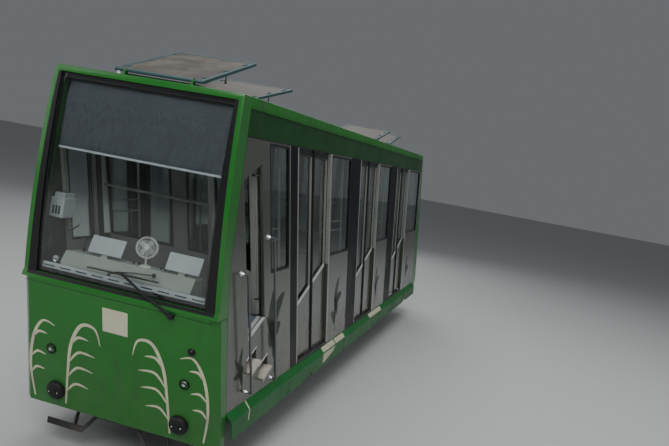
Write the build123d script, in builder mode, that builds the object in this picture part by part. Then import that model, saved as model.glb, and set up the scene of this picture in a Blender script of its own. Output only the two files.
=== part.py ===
from build123d import *
from math import cos, radians, sin, tan
import os

os.makedirs("parts", exist_ok=True)

# Frame: X points uphill along the track, Y across it, Z square to the track.
# Positions along the car are stations: millimetres downhill from the foot of
# the uphill end, read at the height DATUM_Z on a line that leans like a pillar.
LEAN = 22.3
TUMBLE = 2.3
DATUM_Z = 800
X_FOOT = 5018
TAN_LEAN = tan(radians(LEAN))
SIN_LEAN = sin(radians(LEAN))
COS_LEAN = cos(radians(LEAN))
TAN_TUMBLE = tan(radians(TUMBLE))
SIN_TUMBLE = sin(radians(TUMBLE))
COS_TUMBLE = cos(radians(TUMBLE))
LEVEL_RISE = SIN_LEAN * COS_LEAN

# Cross section
HALF_AT_RAIL = 951
WALL = 35
SEAM = 1
PANEL_BOTTOM_Z = 690
SILL_Z = 715
WINDOW_BOTTOM_Z = 1817
WINDOW_TOP_Z = 2949
BAND_BOTTOM_Z = 2974
BAND_TOP_Z = 3192
ROOF_Z = 3280
ROOF_CHAMFER = 8
ROOF_SHEET = 25
PAST_SIDES = 1200

# Running gear
GAUGE = 1000
WHEEL_R = 270
FLANGE_R = 298
AXLE_Z = FLANGE_R
AXLE_X = 3050
AXLE_R = 60
JOURNAL_R = 45
JOURNAL_CLEAR = 0.05
BOX_Y = 670

# Stations along the side
DOOR_PITCH = 2620
DOOR_START = 2080
DOOR_WIDTH = 1130
LEAF_A_WIDTH = 580
PILLAR_WIDTH = 540
MULLION = 70
CAB_DOOR = (690, 1100)
FIRST_WINDOW = (1285, 1790)
FIRST_PILLAR = 1830
REAR_WINDOW_END = 9720
WALL_END = 9850

# Uphill corner strip, where the side meets the end: distance ahead of the foot
STRIP_X = 110
STRIP_BEND_Z = 2000
STRIP_LEDGE_X = 33
STRIP_LOW_X = -206

SIDES = (("right", 1), ("left", -1))
DOORS = (1, 2, 3)


def lean(s, z):
    """Point (x, z) at station s and height z, on a leaning pillar line."""
    return (X_FOOT - s + (z - DATUM_Z) * TAN_LEAN, z)


def level(s_ref, z_ref, s):
    """Height at station s of the true horizontal through (s_ref, z_ref)."""
    return z_ref + (s - s_ref) * LEVEL_RISE


def half(z, inset=0):
    """Half width of the body at height z, less an inset."""
    return HALF_AT_RAIL - z * TAN_TUMBLE - inset


def wall_plane(side, depth=0):
    """Plane of a side wall's outer face, set in by depth; Y runs up the wall."""
    out = Vector(0, side * COS_TUMBLE, SIN_TUMBLE)
    origin = Vector(0, side * HALF_AT_RAIL, 0) - out * depth
    return Plane(origin=origin, x_dir=(-side, 0, 0), z_dir=out)


def on_wall(side, points):
    """Side-wall (x, z) points in the coordinates of wall_plane."""
    return [(-side * x, z / COS_TUMBLE) for x, z in points]


def bay(s0, s1, z0, z1):
    """Corners of a leaning bay between two stations and two heights."""
    return [lean(s0, z0), lean(s1, z0), lean(s1, z1), lean(s0, z1)]


def body_section(inset, low, top):
    """Half-section corners of the body, both sides, from low to its roof."""
    shoulder = (half(BAND_TOP_Z, inset), BAND_TOP_Z)
    crown = (half(BAND_TOP_Z, inset) - ROOF_CHAMFER, top)
    right = [(half(low, inset), low), shoulder, crown]
    return right + [(-y, z) for y, z in reversed(right)]


def door_start(number):
    return DOOR_START + (number - 1) * DOOR_PITCH


def across(x, z):
    """Plane square to Y with its origin at (x, z)."""
    return Plane(origin=(x, 0, z), x_dir=(1, 0, 0), z_dir=(0, -1, 0))


def save(part, name):
    part.label = name
    export_step(part, f"parts/{name}.step")


# Wheelsets: an axle with journals, and two flanged wheels pressed on it
WHEEL_HALF_TREAD = 62
FLANGE_WIDTH = 30
HUB_R = 110
HUB_HALF = 85
RIM_R = 225
RIM_HALF = 30
TREAD_FALL = 4
AXLE_END_Y = BOX_Y + 52
SEAT_Y = GAUGE / 2 + HUB_HALF + 8

for end, axle_x in (("uphill", AXLE_X), ("downhill", -AXLE_X)):
    with BuildPart() as axle:
        with BuildSketch(across(axle_x, AXLE_Z)):
            Circle(AXLE_R)
        extrude(amount=SEAT_Y, both=True)
        with BuildSketch(across(axle_x, AXLE_Z)):
            Circle(JOURNAL_R)
        extrude(amount=AXLE_END_Y, both=True)
    save(axle.part, f"axle_{end}")

    with BuildPart() as wheels:
        for _, side in SIDES:
            inner = side * (GAUGE / 2 - WHEEL_HALF_TREAD)
            tread_in = inner + side * FLANGE_WIDTH
            outer = side * (GAUGE / 2 + WHEEL_HALF_TREAD)
            mid = side * GAUGE / 2
            with BuildSketch(Plane.YZ.offset(axle_x)):
                with BuildLine():
                    Polyline(
                        (mid - side * HUB_HALF, AXLE_Z + AXLE_R),
                        (mid - side * HUB_HALF, AXLE_Z + HUB_R),
                        (mid - side * RIM_HALF, AXLE_Z + RIM_R),
                        (inner, AXLE_Z + FLANGE_R),
                        (tread_in, AXLE_Z + WHEEL_R),
                        (outer, AXLE_Z + WHEEL_R - TREAD_FALL),
                        (mid + side * RIM_HALF, AXLE_Z + RIM_R),
                        (mid + side * HUB_HALF, AXLE_Z + HUB_R),
                        (mid + side * HUB_HALF, AXLE_Z + AXLE_R),
                        close=True,
                    )
                make_face()
            revolve(axis=Axis((axle_x, 0, AXLE_Z), (0, 1, 0)))
    save(wheels.part, f"wheels_{end}")

# Axle boxes, layered rubber springs and the underframe that carries them
SOLE_Z = (540, 620)
SOLE_WIDTH = 80
CENTRE_BAR = (220, 50)
BEARER_Z = (SOLE_Z[1], 695)
BEARER_WIDTH = 80
BEARER_HALF = 886
END_GAP = 20
FRAME_FRONT_X = X_FOOT - 330
FRAME_REAR_X = X_FOOT - 9900
BOX_SIZE = (190, 110, 190)
GUARD_T = 16
GUARD_Z = (210, 600)
CROSS_X = (3450, 2500, 1250, 0, -1650, -2500, -3450)

with BuildPart() as axle_boxes:
    for axle_x in (AXLE_X, -AXLE_X):
        for _, side in SIDES:
            with Locations((axle_x, side * BOX_Y, AXLE_Z)):
                Box(*BOX_SIZE)
    chamfer(axle_boxes.edges().filter_by(Axis.Y), 30)
    for axle_x in (AXLE_X, -AXLE_X):
        with BuildSketch(across(axle_x, AXLE_Z)):
            Circle(JOURNAL_R + JOURNAL_CLEAR)
        extrude(amount=AXLE_END_Y + 3, both=True, mode=Mode.SUBTRACT)
        with BuildSketch(across(axle_x, AXLE_Z)):
            Circle(AXLE_R + 10)
        extrude(amount=SEAT_Y + 4, both=True, mode=Mode.SUBTRACT)
save(axle_boxes.part, "axle_boxes")

SPRING_LOW = AXLE_Z + BOX_SIZE[2] / 2
SPRING_HIGH = SOLE_Z[0]
SPRING_PLATES = 5
PLATE_SIZE = (150, 96, 12)
RUBBER_SIZE = (124, 74)
PLATE_PITCH = (SPRING_HIGH - SPRING_LOW - PLATE_SIZE[2]) / (SPRING_PLATES - 1)
ON_TOP = (Align.CENTER, Align.CENTER, Align.MIN)
with BuildPart() as suspension_springs:
    for axle_x in (AXLE_X, -AXLE_X):
        for _, side in SIDES:
            with Locations((axle_x, side * BOX_Y, SPRING_LOW)):
                Box(*RUBBER_SIZE, SPRING_HIGH - SPRING_LOW, align=ON_TOP)
            for plate in range(SPRING_PLATES):
                with Locations((axle_x, side * BOX_Y, SPRING_LOW + plate * PLATE_PITCH)):
                    Box(*PLATE_SIZE, align=ON_TOP)
save(suspension_springs.part, "suspension_springs")

FRAME_LENGTH = FRAME_FRONT_X - FRAME_REAR_X
FRAME_MIDDLE = (FRAME_FRONT_X + FRAME_REAR_X) / 2
with BuildPart() as underframe:
    for _, side in SIDES:
        for bar_y, width in ((BOX_Y, SOLE_WIDTH), CENTRE_BAR):
            with Locations((FRAME_MIDDLE, side * bar_y, SOLE_Z[0])):
                Box(FRAME_LENGTH, width, SOLE_Z[1] - SOLE_Z[0], align=ON_TOP)
        for axle_x in (AXLE_X, -AXLE_X):
            for toe in (-1, 1):
                guard_x = axle_x + toe * (BOX_SIZE[0] / 2 + GUARD_T / 2)
                with Locations((guard_x, side * BOX_Y, GUARD_Z[0])):
                    Box(GUARD_T, SOLE_WIDTH, GUARD_Z[1] - GUARD_Z[0], align=ON_TOP)
save(underframe.part, "underframe")

with BuildPart() as cross_bearers:
    for bearer_x in (FRAME_FRONT_X - BEARER_WIDTH / 2, *CROSS_X, FRAME_REAR_X + BEARER_WIDTH / 2 + END_GAP):
        with Locations((bearer_x, 0, BEARER_Z[0])):
            Box(BEARER_WIDTH, 2 * BEARER_HALF, BEARER_Z[1] - BEARER_Z[0], align=ON_TOP)
save(cross_bearers.part, "cross_bearers")

# Stepped floor: level treads and upright risers, folded from sheet
STEP_PITCH = DOOR_PITCH / 4
TREAD = STEP_PITCH * COS_LEAN
RISER = TREAD * TAN_LEAN
FLOOR_T = 22
FLOOR_FIRST = 1290
FLOOR_STEPS = 13
FLOOR_LOW_Z = SILL_Z + 2


def stair(z_low):
    """Upper line of the stepped floor, starting at the foot of a tread."""
    x = lean(FLOOR_FIRST, z_low)[0]
    z = z_low
    points = [(x, z)]
    for _ in range(FLOOR_STEPS):
        x -= TREAD * COS_LEAN
        z += TREAD * SIN_LEAN
        points.append((x, z))
        x -= RISER * SIN_LEAN
        z -= RISER * COS_LEAN
        points.append((x, z))
    return points


with BuildPart() as floor_deck:
    upper = stair(FLOOR_LOW_Z)
    lower = [(x, z - FLOOR_T) for x, z in upper]
    with BuildSketch(Plane.XZ):
        Polygon(*upper, *reversed(lower), align=None)
    extrude(amount=half(1000, 85), both=True)
save(floor_deck.part, "floor_deck")

# Cab floor: level at the cab threshold, with a riser down to the saloon
CAB_SILL_Z = 1400
CAB_HEAD_Z = 2780
CAB_FLOOR_START = 130
CAB_FLOOR_END = 1230
CAB_FLOOR_T = 30
CAB_FLOOR_EDGE = 45
with BuildPart() as cab_floor:
    z_front = level(CAB_DOOR[1], CAB_SILL_Z, CAB_FLOOR_START)
    z_end = level(CAB_DOOR[1], CAB_SILL_Z, CAB_FLOOR_END)
    with BuildSketch(Plane.XZ):
        Polygon(
            lean(CAB_FLOOR_START, z_front),
            lean(CAB_FLOOR_END, z_end),
            lean(CAB_FLOOR_END, BEARER_Z[1]),
            lean(CAB_FLOOR_END - CAB_FLOOR_T, BEARER_Z[1]),
            lean(CAB_FLOOR_END - CAB_FLOOR_T, z_end - CAB_FLOOR_EDGE),
            lean(CAB_FLOOR_START, z_front - CAB_FLOOR_T),
            align=None,
        )
    extrude(amount=half(1300, 80), both=True)
save(cab_floor.part, "cab_floor")

LEDGE_Z = 1537

# Side panels, with windows, the cab doorway and the recessed steps cut out
PANEL_ENDS = [(door_start(n) + DOOR_WIDTH, door_start(n + 1) - PILLAR_WIDTH) for n in (1, 2)]
STEP_OPENINGS = ((634, 871, 938), (911, 1156, 808))
STEP_HEIGHT = 130
WINDOW_END_GAP = 12


def doorway(side):
    """Cab doorway between two pillar lines, with level head and sill."""
    s0, s1 = CAB_DOOR
    points = [
        lean(s0, level(s1, CAB_SILL_Z, s0)),
        lean(s1, CAB_SILL_Z),
        lean(s1, CAB_HEAD_Z),
        lean(s0, level(s1, CAB_HEAD_Z, s0)),
    ]
    return on_wall(side, points)


def step_opening(side, s0, s1, z):
    points = [
        lean(s0, z),
        lean(s1, level(s0, z, s1)),
        lean(s1, level(s0, z, s1) + STEP_HEIGHT),
        lean(s0, z + STEP_HEIGHT),
    ]
    return on_wall(side, points)


WINDOW_SPANS = [
    FIRST_WINDOW,
    *[(s0 + MULLION, s1 - WINDOW_END_GAP) for s0, s1 in PANEL_ENDS],
    (door_start(3) + DOOR_WIDTH + MULLION, REAR_WINDOW_END),
]
for name, side in SIDES:
    with BuildPart() as side_panels:
        with BuildSketch(wall_plane(side)):
            cab_front = [
                (X_FOOT + STRIP_LOW_X - SEAM, PANEL_BOTTOM_Z),
                lean(FIRST_PILLAR, PANEL_BOTTOM_Z),
                lean(FIRST_PILLAR, BAND_BOTTOM_Z),
                (X_FOOT + STRIP_X - SEAM, BAND_BOTTOM_Z),
                (X_FOOT + STRIP_X - SEAM, STRIP_BEND_Z),
                (X_FOOT + STRIP_LEDGE_X - SEAM, LEDGE_Z),
            ]
            Polygon(*on_wall(side, cab_front), align=None)
            for s0, s1 in PANEL_ENDS:
                Polygon(*on_wall(side, bay(s0, s1, PANEL_BOTTOM_Z, BAND_BOTTOM_Z)), align=None)
            last = door_start(3) + DOOR_WIDTH
            Polygon(*on_wall(side, bay(last, WALL_END, PANEL_BOTTOM_Z, BAND_BOTTOM_Z)), align=None)
            for s0, s1 in WINDOW_SPANS:
                Polygon(
                    *on_wall(side, bay(s0, s1, WINDOW_BOTTOM_Z, WINDOW_TOP_Z)),
                    align=None,
                    mode=Mode.SUBTRACT,
                )
            Polygon(*doorway(side), align=None, mode=Mode.SUBTRACT)
            for s0, s1, z in STEP_OPENINGS:
                Polygon(*step_opening(side, s0, s1, z), align=None, mode=Mode.SUBTRACT)
        extrude(amount=-WALL)
    save(side_panels.part, f"side_panels_{name}")

# Boarding steps below the cab doorways: a recess behind the panel and a tread
STEP_DEPTH = 170
STEP_SHEET = 12
TREAD_OUT = 40
TREAD_T = 12


def step_tread(side, s0, s1, z):
    low = z + SEAM
    points = [
        lean(s0 + SEAM, low),
        lean(s1 - SEAM, level(s0, low, s1)),
        lean(s1 - SEAM, level(s0, low, s1) + TREAD_T),
        lean(s0 + SEAM, low + TREAD_T),
    ]
    return on_wall(side, points)


with BuildPart() as boarding_steps:
    for _, side in SIDES:
        for s0, s1, z in STEP_OPENINGS:
            with BuildSketch(wall_plane(side, WALL)):
                Polygon(*step_opening(side, s0, s1, z), align=None)
                offset(amount=STEP_SHEET, kind=Kind.INTERSECTION)
            extrude(amount=-STEP_DEPTH)
            with BuildSketch(wall_plane(side, WALL)):
                Polygon(*step_opening(side, s0, s1, z), align=None)
            extrude(amount=-STEP_DEPTH + STEP_SHEET, mode=Mode.SUBTRACT)
            with BuildSketch(wall_plane(side, -TREAD_OUT)):
                Polygon(*step_tread(side, s0, s1, z), align=None)
            extrude(amount=-(TREAD_OUT + WALL + STEP_DEPTH - STEP_SHEET / 2))
save(boarding_steps.part, "boarding_steps")

# Dark pillars beside the doors
with BuildPart() as door_pillars:
    for _, side in SIDES:
        for number in DOORS:
            start = FIRST_PILLAR if number == 1 else door_start(number) - PILLAR_WIDTH
            with BuildSketch(wall_plane(side)):
                corners = bay(start, door_start(number), PANEL_BOTTOM_Z, BAND_BOTTOM_Z)
                Polygon(*on_wall(side, corners), align=None)
            extrude(amount=-WALL)
save(door_pillars.part, "door_pillars")

# Window glass
GLASS = 6
GLASS_DEPTH = 14
with BuildPart() as side_windows:
    for _, side in SIDES:
        for s0, s1 in WINDOW_SPANS:
            with BuildSketch(wall_plane(side, GLASS_DEPTH)):
                corners = bay(s0, s1, WINDOW_BOTTOM_Z, WINDOW_TOP_Z)
                Polygon(*on_wall(side, corners), align=None)
            extrude(amount=-GLASS)
save(side_windows.part, "side_windows")

# Door thresholds, between the pillars below the leaves
THRESHOLD_OUT = 8
with BuildPart() as thresholds:
    for _, side in SIDES:
        for number in DOORS:
            start = door_start(number)
            with BuildSketch(wall_plane(side, -THRESHOLD_OUT)):
                corners = bay(start, start + DOOR_WIDTH, PANEL_BOTTOM_Z, SILL_Z)
                Polygon(*on_wall(side, corners), align=None)
            extrude(amount=-(WALL + THRESHOLD_OUT))
save(thresholds.part, "door_thresholds")

# Cant bands above windows and doors, and the roof
with BuildPart() as cant_bands:
    for _, side in SIDES:
        band = [
            (X_FOOT + STRIP_X, BAND_BOTTOM_Z),
            lean(WALL_END, BAND_BOTTOM_Z),
            lean(WALL_END, BAND_TOP_Z),
            (X_FOOT + STRIP_X, BAND_TOP_Z),
        ]
        with BuildSketch(wall_plane(side)):
            Polygon(*on_wall(side, band), align=None)
        extrude(amount=-WALL)
save(cant_bands.part, "cant_bands")

# Roof hatches: name, hinge distance downhill of the foot, rest angle
HATCHES = (
    ("roof_hatch_1", -100, 17),
    ("roof_hatch_2", 975, 12),
    ("roof_hatch_3", 6400, 12.5),
    ("roof_hatch_4", 7475, 12.5),
)
HATCH_LENGTH = 1050
HATCH_WIDTH = 780
HATCH_RIM = 34
HATCH_T = 24
HATCH_PANEL_HALF = 4
HATCH_HINGE_Z = ROOF_Z + 44
HINGE_PIN_R = 8
HINGE_BARREL_R = 12
HINGE_CLEAR = 0.05
HINGE_Y = 300
EAR_T = 20
CURB_HEIGHT = 22
CURB_T = 20
CURB_INSET = 40
HATCH_OPENING = (HATCH_LENGTH - 2 * (CURB_INSET + CURB_T), HATCH_WIDTH - 2 * (CURB_INSET + CURB_T))

with BuildPart() as roof_shell:
    with BuildSketch(Plane.YZ.offset(X_FOOT + STRIP_X)):
        Polygon(*body_section(0, BAND_TOP_Z, ROOF_Z)[1:-1], align=None)
        inner = body_section(ROOF_SHEET, BAND_TOP_Z, ROOF_Z - ROOF_SHEET)[1:-1]
        Polygon(*inner, align=None, mode=Mode.SUBTRACT)
    extrude(amount=-WALL_END)
    with BuildSketch(Plane.XZ):
        Polygon(
            (X_FOOT + STRIP_X, BAND_TOP_Z),
            (X_FOOT + STRIP_X, ROOF_Z),
            lean(WALL_END, ROOF_Z),
            lean(WALL_END, BAND_TOP_Z),
            align=None,
        )
    extrude(amount=PAST_SIDES, both=True, mode=Mode.INTERSECT)
    for _, hinge, _ in HATCHES:
        with Locations((X_FOOT - hinge - HATCH_LENGTH / 2, 0, ROOF_Z)):
            Box(*HATCH_OPENING, 4 * ROOF_SHEET, mode=Mode.SUBTRACT)
save(roof_shell.part, "roof_shell")

# Curbs round the hatch openings, with the ears that hold the hinge pins
with BuildPart() as hatch_curbs:
    for _, hinge, _ in HATCHES:
        middle = X_FOOT - hinge - HATCH_LENGTH / 2
        with BuildSketch(Plane.XY.offset(ROOF_Z)):
            with Locations((middle, 0)):
                Rectangle(HATCH_LENGTH - 2 * CURB_INSET, HATCH_WIDTH - 2 * CURB_INSET)
                Rectangle(*HATCH_OPENING, mode=Mode.SUBTRACT)
        extrude(amount=CURB_HEIGHT)
        for y in (-HINGE_Y, HINGE_Y):
            with BuildSketch(Plane.XZ.offset(-y - EAR_T / 2)):
                with Locations((X_FOOT - hinge, HATCH_HINGE_Z)):
                    Circle(HINGE_BARREL_R + 2)
                with BuildLine():
                    Polyline(
                        (X_FOOT - hinge - HINGE_BARREL_R - 2, HATCH_HINGE_Z),
                        (X_FOOT - hinge - CURB_INSET - CURB_T, ROOF_Z),
                        (X_FOOT - hinge + HINGE_BARREL_R + 12, ROOF_Z),
                        (X_FOOT - hinge + HINGE_BARREL_R + 2, HATCH_HINGE_Z),
                        close=True,
                    )
                make_face()
                with Locations((X_FOOT - hinge, HATCH_HINGE_Z)):
                    Circle(HINGE_PIN_R + HINGE_CLEAR, mode=Mode.SUBTRACT)
            extrude(amount=EAR_T)
save(hatch_curbs.part, "hatch_curbs")

# Hatches: a tube frame and its panel, with a hinge pin at the uphill edge
for name, hinge, angle in HATCHES:
    hinge_x = X_FOOT - hinge
    along = Vector(-cos(radians(angle)), 0, sin(radians(angle)))
    normal = Vector(sin(radians(angle)), 0, cos(radians(angle)))
    frame_plane = Plane(origin=(hinge_x, 0, HATCH_HINGE_Z), x_dir=along, z_dir=normal)
    with BuildPart() as hatch:
        with BuildSketch(frame_plane):
            with Locations((HATCH_LENGTH / 2, 0)):
                Rectangle(HATCH_LENGTH, HATCH_WIDTH)
                Rectangle(HATCH_LENGTH - 2 * HATCH_RIM, HATCH_WIDTH - 2 * HATCH_RIM, mode=Mode.SUBTRACT)
        extrude(amount=HATCH_T / 2, both=True)
        with BuildSketch(frame_plane):
            with Locations((HATCH_LENGTH / 2, 0)):
                Rectangle(HATCH_LENGTH - 2 * HATCH_RIM, HATCH_WIDTH - 2 * HATCH_RIM)
        extrude(amount=HATCH_PANEL_HALF, both=True)
        with BuildSketch(across(hinge_x, HATCH_HINGE_Z)):
            Circle(HINGE_BARREL_R)
        extrude(amount=HATCH_WIDTH / 2, both=True)
        for y in (-HINGE_Y, HINGE_Y):
            with Locations((hinge_x, y, HATCH_HINGE_Z)):
                Box(2 * HATCH_RIM - 4, EAR_T + 4, 80, mode=Mode.SUBTRACT)
        with BuildSketch(across(hinge_x, HATCH_HINGE_Z)):
            Circle(HINGE_PIN_R)
        extrude(amount=HATCH_WIDTH / 2 - 5, both=True)
    save(hatch.part, name)

# Uphill end: the raked windscreen frame and the apron below it
APRON_BOTTOM_Z = 391
FRAME_T = 40
FRONT_TOP = (X_FOOT + 267, ROOF_Z)
FRONT_BULGE = (X_FOOT + 290, 2600)
FRONT_LOW = (X_FOOT + 205, 1600)
APRON_TOP = (X_FOOT + 227, LEDGE_Z)
APRON_BOTTOM = (X_FOOT - 112, APRON_BOTTOM_Z)
SCREEN_HALF = (768, 754)
SCREEN_Z = (1589, 3229)
SCREEN_SET_IN = 24
SCREEN_T = 8
SCREEN_GAP = 3
FRAME_MOUTH_X = (X_FOOT - 15, X_FOOT + 135)
FRAME_MOUTH_Z = (1580, 3240)


def front_profile(inset):
    """Closed side outline of the windscreen frame, front face set in by inset."""
    with BuildLine() as outline:
        nose = ThreePointArc(
            (FRONT_LOW[0] - inset, FRONT_LOW[1]),
            (FRONT_BULGE[0] - inset, FRONT_BULGE[1]),
            (FRONT_TOP[0] - inset, FRONT_TOP[1] - inset * 0.6),
        )
        Polyline(
            nose @ 1,
            (X_FOOT + STRIP_X, FRONT_TOP[1] - inset * 0.6),
            (X_FOOT + STRIP_X, STRIP_BEND_Z),
            (X_FOOT + STRIP_LEDGE_X, LEDGE_Z + inset * 0.8),
            (APRON_TOP[0] - inset, LEDGE_Z + inset * 0.8),
            nose @ 0,
        )
    return outline


with BuildPart() as front_hollow:
    with BuildSketch(Plane.XZ):
        with BuildLine():
            add(front_profile(FRAME_T).line)
        make_face()
    extrude(amount=PAST_SIDES, both=True)
    with BuildSketch(Plane.YZ.offset(X_FOOT)):
        Polygon(*body_section(FRAME_T, 1500, ROOF_Z - FRAME_T), align=None)
    extrude(amount=800, both=True, mode=Mode.INTERSECT)

with BuildPart() as front_frame:
    with BuildSketch(Plane.XZ):
        with BuildLine():
            add(front_profile(0).line)
        make_face()
    extrude(amount=PAST_SIDES, both=True)
    with BuildSketch(Plane.YZ.offset(X_FOOT)):
        Polygon(*body_section(0, 1500, ROOF_Z), align=None)
    extrude(amount=800, both=True, mode=Mode.INTERSECT)
    with BuildSketch(Plane.YZ.offset(X_FOOT + 150)):
        Polygon(
            (-SCREEN_HALF[0], SCREEN_Z[0]),
            (SCREEN_HALF[0], SCREEN_Z[0]),
            (SCREEN_HALF[1], SCREEN_Z[1]),
            (-SCREEN_HALF[1], SCREEN_Z[1]),
            align=None,
        )
    extrude(amount=600, mode=Mode.SUBTRACT)
    add(front_hollow.part, mode=Mode.SUBTRACT)
    with BuildSketch(Plane.XZ):
        (x0, x1), (z0, z1) = FRAME_MOUTH_X, FRAME_MOUTH_Z
        Polygon((x0, z0), (x1, z0), (x1, z1), (x0, z1), align=None)
    extrude(amount=half(3000, 60), both=True, mode=Mode.SUBTRACT)
save(front_frame.part, "front_frame")

with BuildPart() as windscreen:
    with BuildSketch(Plane.XZ):
        with BuildLine():
            outer, inner = [
                ThreePointArc(
                    (FRONT_LOW[0] - inset, SCREEN_Z[0] + SCREEN_GAP),
                    (FRONT_BULGE[0] - inset, FRONT_BULGE[1]),
                    (FRONT_TOP[0] + 2 - inset, SCREEN_Z[1] - SCREEN_GAP),
                )
                for inset in (SCREEN_SET_IN, SCREEN_SET_IN + SCREEN_T)
            ]
            Line(outer @ 0, inner @ 0)
            Line(outer @ 1, inner @ 1)
        make_face()
    extrude(amount=SCREEN_HALF[1] - SCREEN_GAP, both=True)
save(windscreen.part, "windscreen")

APRON_SIDE = 80
APRON_T = 30
WIPER_Y = 500
WIPER_Z = 1500
GLASS_SLOPE = 0.1145
WIPER_SHAFT_R = 6
WIPER_CLEAR = 0.05
APRON_CORNER = 70
APRON_SLOPE = (APRON_TOP[0] - APRON_BOTTOM[0]) / (LEDGE_Z - APRON_BOTTOM_Z)


def apron_outline(inset, low):
    """Plan of the apron at its foot: bevelled corners, set in by inset."""
    face = APRON_BOTTOM[0] - inset
    side = half(low, inset)
    back = APRON_BOTTOM[0] - 700
    right = [(face, side - APRON_CORNER), (face - APRON_CORNER, side), (back, side)]
    return right + [(x, -y) for x, y in reversed(right)]


def apron_block(inset, low, top):
    """Solid between two heights that follows the apron's slope and its bevelled corners."""
    with BuildPart() as block:
        for z in (low, top):
            shift = (z - APRON_BOTTOM_Z) * APRON_SLOPE
            squeeze = half(z, inset) - half(low, inset)
            points = []
            for x, y in apron_outline(inset, low):
                points.append((x + shift, y + (squeeze if y > 0 else -squeeze)))
            with BuildSketch(Plane.XY.offset(z)):
                Polygon(*points, align=None)
        loft(ruled=True)
    return block.part


def wiper_plane(out=0):
    """Plane square to the wiper's shaft, out from where the shaft leaves the apron."""
    origin = (APRON_BOTTOM[0] + (WIPER_Z - APRON_BOTTOM_Z) * APRON_SLOPE, WIPER_Y, WIPER_Z)
    return Plane(origin=origin, x_dir=(0, 1, 0), z_dir=(1, 0, -GLASS_SLOPE)).offset(out)


apron_outer = apron_block(0, APRON_BOTTOM_Z, LEDGE_Z)
apron_inner = apron_block(APRON_T, APRON_BOTTOM_Z - 1, LEDGE_Z + 1)
with BuildPart() as front_apron:
    with BuildSketch(Plane.XZ):
        Polygon(
            (APRON_TOP[0] + 10, LEDGE_Z),
            (APRON_BOTTOM[0] + 10, APRON_BOTTOM_Z),
            (APRON_BOTTOM[0] - APRON_CORNER - APRON_SIDE, APRON_BOTTOM_Z),
            (X_FOOT + STRIP_LOW_X, PANEL_BOTTOM_Z),
            (X_FOOT + STRIP_LEDGE_X, LEDGE_Z),
            align=None,
        )
    extrude(amount=PAST_SIDES, both=True)
    add(apron_outer, mode=Mode.INTERSECT)
    add(apron_inner, mode=Mode.SUBTRACT)
    with BuildSketch(wiper_plane(-2 * APRON_T)):
        Circle(WIPER_SHAFT_R + WIPER_CLEAR)
    extrude(amount=3 * APRON_T, mode=Mode.SUBTRACT)
save(front_apron.part, "front_apron")

# Downhill end: nearly upright, with its own window and apron
REAR_SILL_Z = 1700
REAR_TOP_S = 9970
REAR_SILL_S = 10180
REAR_WAIST = (10310, 760)
REAR_FOOT = (10090, 470)
REAR_WINDOW = (1800, 3080)
REAR_WINDOW_HALF = (735, 705)
REAR_SHEET = 30


def rear_end(inset, low, top):
    """Side outline of the downhill end between two heights, face set in by inset."""
    face = [(REAR_TOP_S, ROOF_Z), (REAR_SILL_S, REAR_SILL_Z), REAR_WAIST, REAR_FOOT]
    points = [lean(s - inset, z) for s, z in face if low <= z <= top]
    return [lean(WALL_END, top), *points, lean(WALL_END, low)]


with BuildPart() as rear_frame:
    with BuildSketch(Plane.XZ):
        Polygon(*rear_end(0, REAR_SILL_Z, ROOF_Z), align=None)
    extrude(amount=PAST_SIDES, both=True)
    with BuildSketch(Plane.YZ.offset(X_FOOT - WALL_END)):
        Polygon(*body_section(0, REAR_SILL_Z - 200, ROOF_Z), align=None)
    extrude(amount=2000, both=True, mode=Mode.INTERSECT)
    with BuildSketch(Plane.XZ):
        Polygon(
            lean(WALL_END - 10, ROOF_Z - FRAME_T),
            lean(REAR_TOP_S - FRAME_T, ROOF_Z - FRAME_T),
            lean(REAR_SILL_S - FRAME_T, REAR_SILL_Z - 5),
            lean(WALL_END - 10, REAR_SILL_Z - 5),
            align=None,
        )
    extrude(amount=half(ROOF_Z, FRAME_T + 10), both=True, mode=Mode.SUBTRACT)
    with BuildSketch(Plane.YZ.offset(X_FOOT - WALL_END - 1500)):
        Polygon(
            (-REAR_WINDOW_HALF[0], REAR_WINDOW[0]),
            (REAR_WINDOW_HALF[0], REAR_WINDOW[0]),
            (REAR_WINDOW_HALF[1], REAR_WINDOW[1]),
            (-REAR_WINDOW_HALF[1], REAR_WINDOW[1]),
            align=None,
        )
    extrude(amount=3000, mode=Mode.SUBTRACT)
save(rear_frame.part, "rear_frame")


def rear_face_s(z):
    """Station of the downhill end's upper face at height z."""
    share = (z - REAR_SILL_Z) / (ROOF_Z - REAR_SILL_Z)
    return REAR_SILL_S + (REAR_TOP_S - REAR_SILL_S) * share


with BuildPart() as rear_window:
    low, high = REAR_WINDOW[0] + 3, REAR_WINDOW[1] - 3
    with BuildSketch(Plane.XZ):
        Polygon(
            lean(rear_face_s(low) - 14, low),
            lean(rear_face_s(low) - 22, low),
            lean(rear_face_s(high) - 22, high),
            lean(rear_face_s(high) - 14, high),
            align=None,
        )
    extrude(amount=REAR_WINDOW_HALF[1] - 3, both=True)
save(rear_window.part, "rear_window")

with BuildPart() as rear_apron:
    with BuildSketch(Plane.XZ):
        Polygon(*rear_end(0, REAR_FOOT[1], REAR_SILL_Z), align=None)
    extrude(amount=PAST_SIDES, both=True)
    with BuildSketch(Plane.YZ.offset(X_FOOT - WALL_END)):
        Polygon(*body_section(0, 200, ROOF_Z), align=None)
    extrude(amount=2000, both=True, mode=Mode.INTERSECT)
    with BuildSketch(Plane.XZ):
        Polygon(
            lean(WALL_END - 10, REAR_SILL_Z + 5),
            lean(REAR_SILL_S - REAR_SHEET, REAR_SILL_Z + 5),
            lean(REAR_WAIST[0] - REAR_SHEET, REAR_WAIST[1]),
            lean(REAR_FOOT[0] - REAR_SHEET, REAR_FOOT[1] - 5),
            lean(WALL_END - 10, REAR_FOOT[1] - 5),
            align=None,
        )
    extrude(amount=half(REAR_SILL_Z, REAR_SHEET), both=True, mode=Mode.SUBTRACT)
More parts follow.
